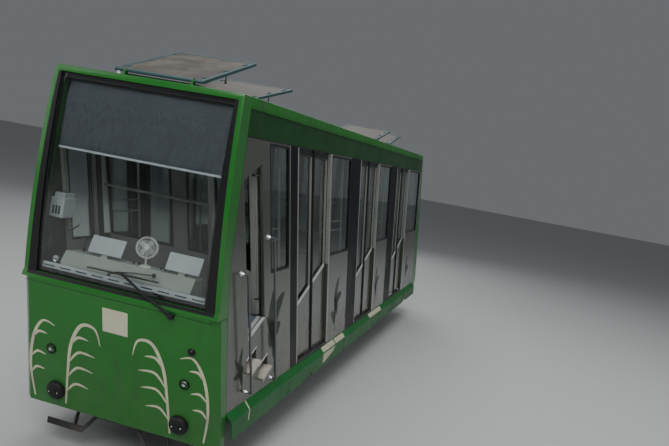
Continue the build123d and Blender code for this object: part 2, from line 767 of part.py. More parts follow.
save(rear_apron.part, "rear_apron")

# Skirts: a sloping ledge below the panels, then an upright face
SKIRT_OUT = 55
SKIRT_FOLD_Z = 625
SKIRT_BOTTOM_Z = 450
SKIRT_T = 18
SKIRT_NOTCHES = (2330, 8700)
NOTCH_SIZE = (300, 2 * PAST_SIDES, 80)
with BuildPart() as skirts:
    for _, side in SIDES:
        top = half(PANEL_BOTTOM_Z)
        fold = half(SKIRT_FOLD_Z) + SKIRT_OUT
        outline = [
            (fold, SKIRT_FOLD_Z),
            (fold + 4, SKIRT_BOTTOM_Z),
            (fold + 4 - SKIRT_T, SKIRT_BOTTOM_Z),
            (fold - SKIRT_T, SKIRT_FOLD_Z - 12),
            (top - 30, PANEL_BOTTOM_Z - 18),
            (top - 30, PANEL_BOTTOM_Z - 30 * TAN_TUMBLE - SEAM),
            (top, PANEL_BOTTOM_Z - SEAM),
        ]
        with BuildSketch(Plane.YZ.offset(X_FOOT)):
            Polygon(*[(side * y, z) for y, z in outline], align=None)
        extrude(amount=-(WALL_END + 700))
    with BuildSketch(Plane.XZ):
        Polygon(
            (X_FOOT + STRIP_LOW_X, PANEL_BOTTOM_Z),
            (X_FOOT + STRIP_LOW_X - 75, SKIRT_BOTTOM_Z),
            lean(WALL_END, SKIRT_BOTTOM_Z),
            lean(WALL_END, PANEL_BOTTOM_Z),
            align=None,
        )
    extrude(amount=PAST_SIDES, both=True, mode=Mode.INTERSECT)
    for s in SKIRT_NOTCHES:
        with Locations((lean(s, SKIRT_BOTTOM_Z)[0], 0, SKIRT_BOTTOM_Z)):
            Box(*NOTCH_SIZE, mode=Mode.SUBTRACT)
save(skirts.part, "skirts")

# Passenger door leaves: each slides inside the wall, away from its partner
LEAF_T = 30
LEAF_DEPTH = 36
LEAF_OVERLAP = 20
LEAF_GAP = 6
LEAF_Z = (727, 2975)
STILE = 62
LEAF_POST = 45
LEAF_HEAD = 70
REBATE_WIDTH = 14
REBATE_DEPTH = 10
TONGUE_T = 8
TONGUE_TOP_Z = 3022
TONGUE_END = 30
LEAF_SILL_Z = 1318
for name, side in SIDES:
    for number in DOORS:
        start = door_start(number)
        middle = start + LEAF_A_WIDTH
        end = start + DOOR_WIDTH
        spans = (
            ("up", start - LEAF_OVERLAP, middle - LEAF_GAP / 2, start + LEAF_POST, middle - STILE),
            ("down", middle + LEAF_GAP / 2, end + LEAF_OVERLAP, middle + STILE, end - LEAF_POST),
        )
        for hand, s0, s1, w0, w1 in spans:
            with BuildPart() as leaf:
                with BuildSketch(wall_plane(side, LEAF_DEPTH)):
                    Polygon(*on_wall(side, bay(s0, s1, *LEAF_Z)), align=None)
                    window = [
                        lean(w0, level(start, LEAF_SILL_Z, w0)),
                        lean(w1, level(start, LEAF_SILL_Z, w1)),
                        lean(w1, LEAF_Z[1] - LEAF_HEAD),
                        lean(w0, LEAF_Z[1] - LEAF_HEAD),
                    ]
                    Polygon(*on_wall(side, window), align=None, mode=Mode.SUBTRACT)
                extrude(amount=-LEAF_T)
                with BuildSketch(wall_plane(side, LEAF_DEPTH)):
                    Polygon(*on_wall(side, window), align=None)
                    offset(amount=REBATE_WIDTH, kind=Kind.INTERSECTION)
                extrude(amount=-REBATE_DEPTH, mode=Mode.SUBTRACT)
                with BuildSketch(wall_plane(side, LEAF_DEPTH + (LEAF_T - TONGUE_T) / 2)):
                    corners = bay(s0 + TONGUE_END, s1 - TONGUE_END, LEAF_Z[1] - SEAM, TONGUE_TOP_Z)
                    Polygon(*on_wall(side, corners), align=None)
                extrude(amount=-TONGUE_T)
            save(leaf.part, f"door_{name}_{number}_{hand}")

# Guide channels above the door leaves, open below for the leaves' tongues
CHANNEL_Z = (2985, 3060)
CHANNEL_DEPTH = 50
CHANNEL_SLOT = (LEAF_DEPTH + LEAF_T / 2 - 11, 22)
CHANNEL_SLOT_TOP_Z = 3042
CHANNEL_ENDS = (FIRST_PILLAR - 400, WALL_END - 120)
with BuildPart() as door_rails:
    for _, side in SIDES:
        with BuildSketch(wall_plane(side, WALL)):
            Polygon(*on_wall(side, bay(*CHANNEL_ENDS, *CHANNEL_Z)), align=None)
        extrude(amount=-CHANNEL_DEPTH)
        with BuildSketch(wall_plane(side, CHANNEL_SLOT[0])):
            slot = bay(CHANNEL_ENDS[0] - 10, CHANNEL_ENDS[1] + 10, CHANNEL_Z[0] - 10, CHANNEL_SLOT_TOP_Z)
            Polygon(*on_wall(side, slot), align=None)
        extrude(amount=-CHANNEL_SLOT[1], mode=Mode.SUBTRACT)
save(door_rails.part, "door_rails")

# Cab doors: they swing in about the downhill jamb
CAB_LEAF_DEPTH = 40
CAB_LEAF_T = 30
CAB_HINGE_S = CAB_DOOR[1] + 16
CAB_LEAF_WIDTH = 415
CAB_LEAF_LOW = 30
CAB_LEAF_HEIGHT = 1560
CAB_STILE = 48


def cab_leaf_sketch():
    """The leaf from its hinge edge: level foot and head, window foot along the track."""
    rise = (WINDOW_BOTTOM_Z - CAB_SILL_Z) / COS_LEAN
    Polygon(
        (0, CAB_LEAF_LOW),
        (CAB_LEAF_WIDTH, CAB_LEAF_LOW),
        (CAB_LEAF_WIDTH, CAB_LEAF_HEIGHT),
        (0, CAB_LEAF_HEIGHT),
        align=None,
    )
    Polygon(
        (CAB_STILE, rise + CAB_STILE * TAN_LEAN),
        (CAB_LEAF_WIDTH - CAB_STILE, rise + (CAB_LEAF_WIDTH - CAB_STILE) * TAN_LEAN),
        (CAB_LEAF_WIDTH - CAB_STILE, CAB_LEAF_HEIGHT - CAB_STILE),
        (CAB_STILE, CAB_LEAF_HEIGHT - CAB_STILE),
        align=None,
        mode=Mode.SUBTRACT,
    )


CAB_HINGE_H = (190, 1390)
CAB_PIN_R = 8
CAB_BARREL_R = 12
CAB_EAR_T = 20
CAB_EAR_ROOM = 26
CAB_EAR_GAP = 2
CAB_EAR_REACH = CAB_LEAF_DEPTH + CAB_LEAF_T - WALL


def cab_barrel(foot, up):
    """Barrel along the hinge edge, let out for the ears, with the pin left through."""
    with BuildSketch(Plane(origin=foot + up * CAB_LEAF_LOW, z_dir=up)) as barrel:
        Circle(CAB_BARREL_R)
    extrude(barrel.sketch, amount=CAB_LEAF_HEIGHT - CAB_LEAF_LOW, dir=up)
    for h in CAB_HINGE_H:
        with BuildSketch(Plane(origin=foot + up * (h - CAB_EAR_T / 2 - CAB_EAR_GAP), z_dir=up)) as room:
            Circle(CAB_BARREL_R + CAB_EAR_ROOM)
        extrude(room.sketch, amount=CAB_EAR_T + 2 * CAB_EAR_GAP, dir=up, mode=Mode.SUBTRACT)
    with BuildSketch(Plane(origin=foot + up * (CAB_LEAF_LOW + 2), z_dir=up)) as pin:
        Circle(CAB_PIN_R)
    extrude(pin.sketch, amount=CAB_LEAF_HEIGHT - CAB_LEAF_LOW - 4, dir=up)


def hinge_frame(side):
    """Foot of the hinge line, its upward direction and the wall's outward normal."""
    up = Vector(TAN_LEAN, -side * TAN_TUMBLE, 1).normalized()
    out = Vector(0, side * COS_TUMBLE, SIN_TUMBLE)
    x, z = lean(CAB_HINGE_S, CAB_SILL_Z)
    foot = Vector(x, side * half(z), z) - out * (CAB_LEAF_DEPTH + CAB_LEAF_T)
    return foot, up, out


foot, up, out = hinge_frame(1)
with BuildPart() as cab_door_right:
    with BuildSketch(Plane(origin=foot, x_dir=-out, z_dir=(-out).cross(up))):
        cab_leaf_sketch()
    extrude(amount=-CAB_LEAF_T)
    cab_barrel(foot, up)
save(cab_door_right.part, "cab_door_right")

foot, up, out = hinge_frame(-1)
uphill = up.cross(out)
with BuildPart() as cab_door_left:
    with BuildSketch(Plane(origin=foot, x_dir=uphill, z_dir=out)):
        cab_leaf_sketch()
    extrude(amount=CAB_LEAF_T)
    cab_barrel(foot, up)
save(cab_door_left.part, "cab_door_left")

with BuildPart() as cab_hinges:
    for _, side in SIDES:
        foot, up, out = hinge_frame(side)
        for h in CAB_HINGE_H:
            with BuildSketch(Plane(origin=foot + up * (h - CAB_EAR_T / 2), x_dir=out, z_dir=up)):
                Circle(CAB_BARREL_R + 2)
                with Locations((CAB_EAR_REACH / 2, 0)):
                    Rectangle(CAB_EAR_REACH, 2 * CAB_BARREL_R + 4)
                Circle(CAB_PIN_R + HINGE_CLEAR, mode=Mode.SUBTRACT)
            extrude(amount=CAB_EAR_T)
save(cab_hinges.part, "cab_hinges")

# Handrails beside the cab doorways
RAIL_R = 11
RAIL_OUT = 65
HANDRAILS = ((570, 785, 1880), (1200, 757, 2152))
with BuildPart() as handrails:
    for _, side in SIDES:
        for s, z0, z1 in HANDRAILS:
            ends = [lean(s, z0), lean(s, z1)]
            feet = [Vector(x, side * (half(z) + SEAM), z) for x, z in ends]
            out = Vector(0, side, 0)
            with BuildLine() as path:
                Polyline(feet[0], feet[0] + out * RAIL_OUT, feet[1] + out * RAIL_OUT, feet[1])
            with BuildSketch(Plane(origin=feet[0], z_dir=out)):
                Circle(RAIL_R)
            sweep(path=path.line, transition=Transition.RIGHT)
save(handrails.part, "handrails")

# Buffers and lamps on both aprons
APRON_NORMAL = Vector(1, 0, -APRON_SLOPE).normalized()
BUFFER_R = 52
BUFFER_Y = 586
BUFFER_Z = 556
LAMP_Y = 624
LAMP_Z = 933
LAMP_R = 34


def on_apron(y, z):
    """Plane on the uphill apron's outer face at (y, z)."""
    return Plane(
        origin=(APRON_BOTTOM[0] + (z - APRON_BOTTOM_Z) * APRON_SLOPE, y, z),
        x_dir=(0, 1, 0),
        z_dir=APRON_NORMAL,
    )


def on_rear(y, z):
    """Plane on the downhill apron's outer face at (y, z)."""
    if z < REAR_WAIST[1]:
        (s0, z0), (s1, z1) = REAR_FOOT, REAR_WAIST
    else:
        (s0, z0), (s1, z1) = REAR_WAIST, (REAR_SILL_S, REAR_SILL_Z)
    x0, x1 = lean(s0, z0)[0], lean(s1, z1)[0]
    slope = (x1 - x0) / (z1 - z0)
    return Plane(origin=(x0 + (z - z0) * slope, y, z), x_dir=(0, -1, 0), z_dir=(-1, 0, slope))


with BuildPart() as buffers:
    for place in (on_apron, on_rear):
        for y in (-BUFFER_Y, BUFFER_Y):
            with BuildSketch(place(y, BUFFER_Z)):
                Circle(BUFFER_R)
            extrude(amount=12)
            with BuildSketch(place(y, BUFFER_Z).offset(12)):
                Circle(BUFFER_R * 0.8)
            extrude(amount=48, taper=18)
save(buffers.part, "buffers")

with BuildPart() as lamps:
    for place in (on_apron, on_rear):
        for y in (-LAMP_Y, LAMP_Y):
            with BuildSketch(place(y, LAMP_Z)):
                Circle(LAMP_R + 7)
            extrude(amount=6)
            with BuildSketch(place(y, LAMP_Z).offset(6)):
                Circle(LAMP_R)
            extrude(amount=10, taper=35)
save(lamps.part, "lamps")

# Cab fittings: the console, with a shelf under the windscreen and a hollow for the knees
CONSOLE_HALF = 590
CONSOLE_TOP_Z = 1790
SHELF_Z = (1592, 1690)
SHELF_X = (X_FOOT + 22, X_FOOT + 150)
with BuildPart() as console:
    with BuildSketch(Plane.XZ):
        Polygon(
            (SHELF_X[1], SHELF_Z[1]),
            (SHELF_X[1], SHELF_Z[0]),
            (SHELF_X[0], SHELF_Z[0]),
            (X_FOOT + 22, 1500),
            (X_FOOT - 60, 1240),
            (X_FOOT - 130, 1240),
            (X_FOOT - 60, CONSOLE_TOP_Z),
            (X_FOOT + 90, CONSOLE_TOP_Z),
            align=None,
        )
    extrude(amount=CONSOLE_HALF, both=True)
save(console.part, "console")

# Partition behind the cab, with a window on each side of its middle post
PARTITION_T = 25
PARTITION_Z = (900, 3200)
PARTITION_WINDOW = (640, 1100)
PARTITION_WINDOW_AT = (400, 2420)
with BuildPart() as cab_partition:
    with BuildSketch(Plane.XZ):
        Polygon(*bay(CAB_FLOOR_END, CAB_FLOOR_END + PARTITION_T, *PARTITION_Z), align=None)
    extrude(amount=half(PARTITION_Z[1], 80), both=True)
    with BuildSketch(Plane.YZ.offset(X_FOOT - 3000)):
        for _, side in SIDES:
            with Locations((side * PARTITION_WINDOW_AT[0], PARTITION_WINDOW_AT[1])):
                Rectangle(*PARTITION_WINDOW)
    extrude(amount=4000, mode=Mode.SUBTRACT)
save(cab_partition.part, "cab_partition")

# Passenger benches: level seats with upright backs, facing downhill
BENCH_S = (1690, 3720, 6340, 9200)
BENCH_Z = 1250
BENCH_HALF = 700
SEAT_DEPTH = 420
SEAT_T = 40
BACK_HEIGHT = 520
BACK_RAKE = 60
LEG_HEIGHT = 300
SEAT_ROUND = 12
with BuildPart() as benches:
    for s in BENCH_S:
        x, z = lean(s, BENCH_Z)
        down = Vector(-COS_LEAN, 0, SIN_LEAN)
        with BuildSketch(Plane(origin=(x, 0, z), x_dir=down, z_dir=(0, 1, 0))) as seat:
            Polygon(
                (0, 0),
                (SEAT_DEPTH - 30, 14),
                (SEAT_DEPTH, -6),
                (SEAT_DEPTH - 6, -SEAT_T),
                (SEAT_T + 20, -SEAT_T),
                (SEAT_T, -LEG_HEIGHT),
                (0, -LEG_HEIGHT),
                (-SEAT_T, -SEAT_T),
                (-SEAT_T - BACK_RAKE, BACK_HEIGHT),
                (-BACK_RAKE, BACK_HEIGHT),
                align=None,
            )
            fillet(seat.vertices(), SEAT_ROUND)
        extrude(amount=BENCH_HALF, both=True)
save(benches.part, "benches")

# Grab poles from the floor to the roof
POLE_R = 17
POLE_FOOT_Z = 1040
POLE_HEAD_Z = ROOF_Z - ROOF_SHEET - 20
with BuildPart() as grab_poles:
    for number in DOORS:
        s = door_start(number) + LEAF_A_WIDTH
        foot_x, foot_z = lean(s, POLE_FOOT_Z)
        run = (POLE_HEAD_Z - foot_z) / COS_LEAN
        with BuildSketch(Plane(origin=(foot_x, 0, foot_z), z_dir=(SIN_LEAN, 0, COS_LEAN))):
            Circle(POLE_R)
        extrude(amount=run)
save(grab_poles.part, "grab_poles")

# Rope socket, track brakes and rail guards below the frame
SOCKET_SIZE = (300, 140, 310)
SOCKET_Z = BEARER_Z[0] - SOCKET_SIZE[2] / 2
SOCKET_PIN_Z = 360
SOCKET_GAP = 60
SOCKET_PIN_R = 25
SOCKET_PIN_X = -5
with BuildPart() as rope_socket:
    with Locations((FRAME_FRONT_X - SOCKET_SIZE[0] / 2 + 40, 0, SOCKET_Z)):
        Box(*SOCKET_SIZE)
    with Locations((FRAME_FRONT_X + 10, 0, SOCKET_Z)):
        Box(100, SOCKET_GAP, SOCKET_SIZE[2] + 2, mode=Mode.SUBTRACT)
    with BuildSketch(across(FRAME_FRONT_X + SOCKET_PIN_X, SOCKET_PIN_Z)):
        Circle(SOCKET_PIN_R)
    extrude(amount=SOCKET_SIZE[1], both=True, mode=Mode.SUBTRACT)
save(rope_socket.part, "rope_socket")

BRAKE_X = -1650
BRAKE_SIZE = (520, 150, 330)
BRAKE_Z = 165
BRAKE_JAW = (600, 66, 200)
BRAKE_JAW_Z = 20
HANGER_SIZE = (120, 90)
with BuildPart() as track_brakes:
    for _, side in SIDES:
        with Locations((BRAKE_X, side * GAUGE / 2, BRAKE_Z)):
            Box(*BRAKE_SIZE, align=ON_TOP)
        with Locations((BRAKE_X, side * GAUGE / 2, BRAKE_JAW_Z)):
            Box(*BRAKE_JAW, align=ON_TOP, mode=Mode.SUBTRACT)
        with Locations((BRAKE_X, side * GAUGE / 2, BRAKE_Z + BRAKE_SIZE[2])):
            Box(*HANGER_SIZE, BEARER_Z[0] - BRAKE_Z - BRAKE_SIZE[2], align=ON_TOP)
save(track_brakes.part, "track_brakes")

# Guard bars below both ends: low near the rails, raised over the rope
GUARD_LOW_Z = 180
GUARD_RISE = 168
GUARD_BAR = 55
GUARD_HUMP = ((-365, -232), (130, 265))
GUARD_REACH = 720
GUARD_AHEAD = 130
ARM_Y = 450
ARM_T = 12
with BuildPart() as rail_guards:
    for end_x, ahead in ((FRAME_FRONT_X, 1), (FRAME_REAR_X, -1)):
        bar_x = end_x + ahead * GUARD_AHEAD
        low_edge = [
            (-GUARD_REACH, GUARD_LOW_Z),
            (GUARD_HUMP[0][0], GUARD_LOW_Z),
            (GUARD_HUMP[0][1], GUARD_LOW_Z + GUARD_RISE),
            (GUARD_HUMP[1][0], GUARD_LOW_Z + GUARD_RISE),
            (GUARD_HUMP[1][1], GUARD_LOW_Z),
            (GUARD_REACH, GUARD_LOW_Z),
        ]
        top_edge = [(y, z + GUARD_BAR) for y, z in low_edge]
        with BuildSketch(Plane.YZ.offset(bar_x)):
            Polygon(*low_edge, *reversed(top_edge), align=None)
        extrude(amount=ARM_T / 2, both=True)
        for y in (-ARM_Y, ARM_Y):
            with BuildSketch(Plane.XZ.offset(-y - ARM_T / 2)):
                Polygon(
                    (end_x, BEARER_Z[0] + 5),
                    (end_x, BEARER_Z[1] - 15),
                    (end_x + ahead * 25, BEARER_Z[1] - 15),
                    (bar_x + ahead * 6, GUARD_LOW_Z + GUARD_BAR + 40),
                    (bar_x + ahead * 6, GUARD_LOW_Z + 10),
                    (bar_x - ahead * 20, GUARD_LOW_Z + 10),
                    align=None,
                )
            extrude(amount=ARM_T)
save(rail_guards.part, "rail_guards")

# Wiper: a shaft through the apron, a cranked arm over the sill and its blade
ARM_END = (-478, 223)
ARM_WIDTH = 18
HEAD_R = 20
HEAD_OUT = (9, 28)
BLADE_ENDS = ((-804, 218), (-162, 227))
BLADE_OUT = (-33.5, -27)
BLADE_HALF = 5
with BuildPart() as wiper:
    with BuildSketch(wiper_plane(-APRON_T - 12)):
        Circle(WIPER_SHAFT_R)
    extrude(amount=APRON_T + 12 + HEAD_OUT[0])
    with BuildSketch(wiper_plane(HEAD_OUT[0])):
        Circle(HEAD_R)
    extrude(amount=HEAD_OUT[1] - HEAD_OUT[0])
    flat = wiper_plane()
    along = (flat.x_dir * ARM_END[0] + flat.y_dir * ARM_END[1]).normalized()
    reach = (ARM_END[0] ** 2 + ARM_END[1] ** 2) ** 0.5
    with BuildSketch(Plane(origin=flat.origin, x_dir=along, z_dir=along.cross(flat.z_dir))):
        Polygon(
            (0, 12),
            (90, 12),
            (100, 14),
            (260, 14),
            (reach - 30, BLADE_OUT[1] - 1),
            (reach + 8, BLADE_OUT[1] - 1),
            (reach + 8, BLADE_OUT[1] + 8),
            (reach - 26, BLADE_OUT[1] + 8),
            (264, 23),
            (100, 24),
            (90, 30),
            (0, 30),
            align=None,
        )
    extrude(amount=ARM_WIDTH / 2, both=True)
    with BuildSketch(wiper_plane(BLADE_OUT[0])):
        (x0, y0), (x1, y1) = BLADE_ENDS
        lower = [(x0, y0 - BLADE_HALF), (x1, y1 - BLADE_HALF)]
        upper = [(x1, y1 + BLADE_HALF), (x0, y0 + BLADE_HALF)]
        Polygon(*lower, *upper, align=None)
    extrude(amount=BLADE_OUT[1] - BLADE_OUT[0])
save(wiper.part, "wiper")
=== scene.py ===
import math
from contextlib import contextmanager
from functools import partial

import bmesh
import bpy
from mathutils import Matrix, Vector


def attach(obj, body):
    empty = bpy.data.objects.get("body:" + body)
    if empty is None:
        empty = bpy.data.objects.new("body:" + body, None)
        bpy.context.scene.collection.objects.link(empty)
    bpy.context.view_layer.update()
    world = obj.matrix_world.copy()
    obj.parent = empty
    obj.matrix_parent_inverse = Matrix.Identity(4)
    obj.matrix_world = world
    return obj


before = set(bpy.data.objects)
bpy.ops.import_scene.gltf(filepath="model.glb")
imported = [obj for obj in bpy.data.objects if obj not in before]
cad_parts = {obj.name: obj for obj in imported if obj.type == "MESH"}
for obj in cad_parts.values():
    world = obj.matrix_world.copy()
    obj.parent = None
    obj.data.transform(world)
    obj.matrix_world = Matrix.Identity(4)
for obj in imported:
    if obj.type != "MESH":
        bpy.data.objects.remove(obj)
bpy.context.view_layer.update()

bl_info = {
    "name": "Funicular Car Dressing",
    "version": (1, 0, 0),
    "blender": (4, 5, 0),
    "location": "View3D > Sidebar > Funicular",
    "description": "Finishes, glazing, cab fittings and trim for a leaning funicular car",
    "category": "Object",
}

# The car's own geometry, in metres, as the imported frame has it. A station is a distance
# downhill from the foot of the uphill end, along walls that lean with the track.
FOOT_X = 5.018
DATUM_Z = 0.8
HALF_AT_RAIL = 0.951
LEAN = math.radians(22.3)
LEAN_SLOPE = math.tan(LEAN)
TUMBLE = math.radians(2.3)
TUMBLE_SLOPE = math.tan(TUMBLE)
SIDES = (("right", 1), ("left", -1))
LEDGE_Z = 1.537
WINDOW_LOW, WINDOW_TOP = 1.817, 2.949
BAND_LOW, BAND_TOP = 2.974, 3.192
TRIM_LOW, TRIM_TOP = 0.694, BAND_LOW - 0.004
ROOF_Z = 3.280
WALL_END = 9.850
DOOR_PITCH, DOOR_WIDTH = 2.620, 1.130
DOOR_STARTS = [2.080 + n * DOOR_PITCH for n in range(3)]
PILLAR_WIDTH, MULLION = 0.540, 0.070
LEAF_SPLIT, LEAF_STILE, LEAF_EDGE = 0.580, 0.045, 0.062
LEAF_SILL, LEAF_TOP = 1.318, 2.905
LEAF_FOOT, LEAF_HEAD = 0.729, 2.973
LEAF_FACE, LEAF_T = -0.036, 0.030
CAB_SILL, CAB_HEAD = 1.400, 2.780
CAB_START, CAB_END = 0.690, 1.100
CAB_HINGE_S, CAB_LEAF_DEPTH = 1.116, 0.070
CAB_LEAF_WIDTH, CAB_LEAF_HEIGHT, CAB_STILE = 0.415, 1.560, 0.048
STEP_OPENINGS = ((0.634, 0.871, 0.938), (0.911, 1.156, 0.808))
HATCHES = ((-0.100, 17), (0.975, 12), (6.400, 12.5), (7.475, 12.5))
HATCH_Z, HATCH_LENGTH = 3.324, 1.050
BENCH_S = (1.690, 3.720, 6.340, 9.200)
SEAT_Z, SEAT_RAKE = 1.25, math.radians(6.6)
FLOOR_FIRST, FLOOR_LOW, FLOOR_STEP = 1.290, 0.717, DOOR_PITCH / 4
HEAD_RAIL_Z = 3.02
BLIND_Y, BLIND_TOP = (-0.700, 0.745), 3.190
APRON_FOOT = (FOOT_X - 0.112, 0.391)
APRON_HEAD = (FOOT_X + 0.227, LEDGE_Z)
SCREEN_GLASS = ((0.181, 1.592), (0.266, 2.6), (0.245, 3.226))
SCREEN_FRAME = ((0.205, 1.6), (0.290, 2.6), (0.267, 3.28))
SCREEN_Z, SCREEN_T = (1.589, 3.229), 0.008
SCREEN_HALF = (0.768, 0.754)
FLANGE = 0.042
BUFFER_Y, BUFFER_Z = 0.586, 0.556
LAMP_Y, LAMP_Z = 0.624, 0.933
CONSOLE_Z = 1.789
PANE_Y = (-0.4, 0.4)
HATCH_HALF, HATCH_CLIP_Y = 0.352, 0.345
SEAM_T, RIVET_PITCH = 0.0026, 0.25
SKIRT_DROP, SKIRT_SPREAD = 0.175, 0.004
AXLE_X, AXLE_Z = 3.05, 0.298
BOX_FACE_Y, WHEEL_FACE_Y, SOLE_FACE_Y, BRAKE_FACE_Y = 0.725, 0.585, 0.710, 0.575
BRAKE_X, RAIL_Y = -1.65, 0.5
PIPE_Y, PIPE_Z = 0.30, 0.600
FILM_LIFT, FILM_THICK, CURVE_STEPS = 0.0003, 0.0007, 9


def lean_x(s, z):
    return FOOT_X - s + (z - DATUM_Z) * LEAN_SLOPE


def at_foot(x, y, z):
    return Vector((FOOT_X + x, y, z))


def level(s_ref, z_ref, s):
    """Height at station s of the true horizontal through (s_ref, z_ref)."""
    return z_ref + (s - s_ref) * math.sin(LEAN) * math.cos(LEAN)


def oblong(a0, a1, b0, b1):
    """Corners of a rectangle in two measures."""
    return [(a0, b0), (a1, b0), (a1, b1), (a0, b1)]


def sloped(s0, z0, s1, z1, low, high):
    """Corners of a strip along the line from (s0, z0) to (s1, z1)."""
    return [(s0, z0 + low), (s1, z1 + low), (s1, z1 + high), (s0, z0 + high)]


def grown(corners, by):
    """Leaning window corners (first station first, low ones first), let out by a margin."""
    (s0, z0), (s1, z1), (_, z2), (_, z3) = corners
    return [(s0 - by, z0 - by), (s1 + by, z1 - by), (s1 + by, z2 + by), (s0 - by, z3 + by)]


def turns(count):
    return [2 * math.pi * k / count for k in range(count)]


def wall(side, s, z, out=0.0):
    """Point on a side wall at station s and height z, out from its face."""
    return wall_x(side, lean_x(s, z), z, out)


def wall_x(side, x, z, out=0.0):
    y = HALF_AT_RAIL - z * TUMBLE_SLOPE + out * math.cos(TUMBLE)
    return Vector((x, side * y, z + out * math.sin(TUMBLE)))


def wall_out(side):
    return Vector((0, side * math.cos(TUMBLE), math.sin(TUMBLE)))


def wall_ring(side, corners, out):
    return [wall(side, s, z, out) for s, z in corners]


def end_face(low, high, way):
    """A sloping end face through two (x, z) points: its point at (y, z, out) and its outward direction."""
    slope = (high[0] - low[0]) / (high[1] - low[1])
    normal = Vector((way, 0, -way * slope)).normalized()

    def point(y, z, out=0.0):
        return Vector((low[0] + (z - low[1]) * slope, way * y, z)) + normal * out

    return point, normal


REAR_FOOT, REAR_LOW, REAR_HIGH, REAR_TOP = (
    (lean_x(s, z), z) for s, z in ((10.090, 0.470), (10.310, 0.760), (10.180, 1.700), (9.970, ROOF_Z))
)
apron, APRON_OUT = end_face(APRON_FOOT, APRON_HEAD, 1)
rear_low, REAR_LOW_OUT = end_face(REAR_FOOT, REAR_LOW, -1)
rear, REAR_OUT = end_face(REAR_LOW, REAR_HIGH, -1)
rear_window, REAR_WINDOW_OUT = end_face(REAR_HIGH, REAR_TOP, -1)


def circle_x(z, points):
    """X at height z on the circle through three (x, z) points, bulging uphill."""
    (x1, z1), (x2, z2), (x3, z3) = points
    d = 2 * (x1 * (z2 - z3) + x2 * (z3 - z1) + x3 * (z1 - z2))
    s1, s2, s3 = x1 * x1 + z1 * z1, x2 * x2 + z2 * z2, x3 * x3 + z3 * z3
    cx = (s1 * (z2 - z3) + s2 * (z3 - z1) + s3 * (z1 - z2)) / d
    cz = (s1 * (x3 - x2) + s2 * (x1 - x3) + s3 * (x2 - x1)) / d
    reach = math.hypot(x1 - cx, z1 - cz)
    return cx + math.sqrt(reach * reach - (z - cz) ** 2)


def glass_x(z, behind=0.0):
    """X of the windscreen's outer face at height z, or so far behind it."""
    return FOOT_X + circle_x(z, SCREEN_GLASS) - behind


def frame_x(z):
    """X of the windscreen frame's face at height z: straight at its foot, then curved."""
    foot_x, foot_z = SCREEN_FRAME[0]
    if z < foot_z:
        return FOOT_X + foot_x + (foot_z - z) * (APRON_HEAD[0] - FOOT_X - foot_x) / (foot_z - LEDGE_Z)
    return FOOT_X + circle_x(z, SCREEN_FRAME)


LEDGE_TOP = (HALF_AT_RAIL - 0.690 * TUMBLE_SLOPE, 0.689)
LEDGE_FOLD = (HALF_AT_RAIL - 0.625 * TUMBLE_SLOPE + 0.055, 0.625)


def ledge(side, x, z, out=0.0):
    """Point on the sloping ledge above a skirt, out from it."""
    (y0, z0), (y1, z1) = LEDGE_TOP, LEDGE_FOLD
    run = math.hypot(y1 - y0, z1 - z0)
    y = y0 + (y1 - y0) * (z0 - z) / (z0 - z1)
    return Vector((x, side * (y + out * (z0 - z1) / run), z + out * (y1 - y0) / run))


def skirt(side, x, z, out=0.0):
    """Point on a skirt's upright face, out from it."""
    return Vector((x, side * (LEDGE_FOLD[0] + SKIRT_SPREAD * (LEDGE_FOLD[1] - z) / SKIRT_DROP + out), z))


def floor_z(s):
    """Height of the stepped floor where a leaning post at station s meets it."""
    done = math.floor((s - FLOOR_FIRST) / FLOOR_STEP) * FLOOR_STEP
    reach = s - FLOOR_FIRST - done + FLOOR_LOW * LEAN_SLOPE
    return (FLOOR_LOW + reach * LEAN_SLOPE) / (1 + LEAN_SLOPE * LEAN_SLOPE)


# Mesh helpers: each adds its faces to a bmesh


def points(bm, ring, shift=(0, 0, 0)):
    return [bm.verts.new(Vector(p) + Vector(shift)) for p in ring]


def shell(bm, rings, loop=False):
    """Closed solid through rings of points; a ring may be one point, and loop joins the ends."""
    for a, b in zip(rings, rings[1:] + (rings[:1] if loop else [])):
        count = max(len(a), len(b))
        for k in range(count):
            n = (k + 1) % count
            corners = (a[k % len(a)], a[n % len(a)], b[n % len(b)], b[k % len(b)])
            bm.faces.new(tuple(dict.fromkeys(corners)))
    for ring in () if loop else (rings[0], rings[-1]):
        if len(ring) > 1:
            bm.faces.new(ring)


def prism(bm, ring, shift):
    """Closed solid from a flat ring of points, moved by shift."""
    shell(bm, [points(bm, ring), points(bm, ring, shift)])


def collar(bm, outer, inner, shift):
    """Closed ring of solid between two flat rings with the same number of points."""
    rings = [points(bm, outer), points(bm, inner), points(bm, inner, shift), points(bm, outer, shift)]
    shell(bm, rings, loop=True)


def plate(bm, side, corners, depth, thick):
    """Flat plate on a side wall between (station, height) corners."""
    prism(bm, wall_ring(side, corners, depth), wall_out(side) * thick)


def rim(bm, side, corners, outer, inner, depth, thick):
    """Frame on a side wall between two margins of a window's corners."""
    rings = [wall_ring(side, grown(corners, by), depth) for by in (outer, inner)]
    collar(bm, *rings, wall_out(side) * thick)


def box(bm, centre, size, turn=None):
    matrix = Matrix.Translation(Vector(centre)) @ (turn.to_4x4() if turn else Matrix.Identity(4))
    bmesh.ops.create_cube(bm, size=1, matrix=matrix @ Matrix.Diagonal((*size, 1)))


def rounded(corners, radius, steps=4):
    """Flat ring with its corners rounded."""
    ring = []
    for i, corner in enumerate(corners):
        here = Vector(corner)
        back = (Vector(corners[i - 1]) - here).normalized()
        ahead = (Vector(corners[(i + 1) % len(corners)]) - here).normalized()
        cut = radius / math.tan(back.angle(ahead) / 2)
        start, end = here + back * cut, here + ahead * cut
        for k in range(steps + 1):
            t = k / steps
            ring.append(start * (1 - t) ** 2 + here * 2 * t * (1 - t) + end * t**2)
    return ring


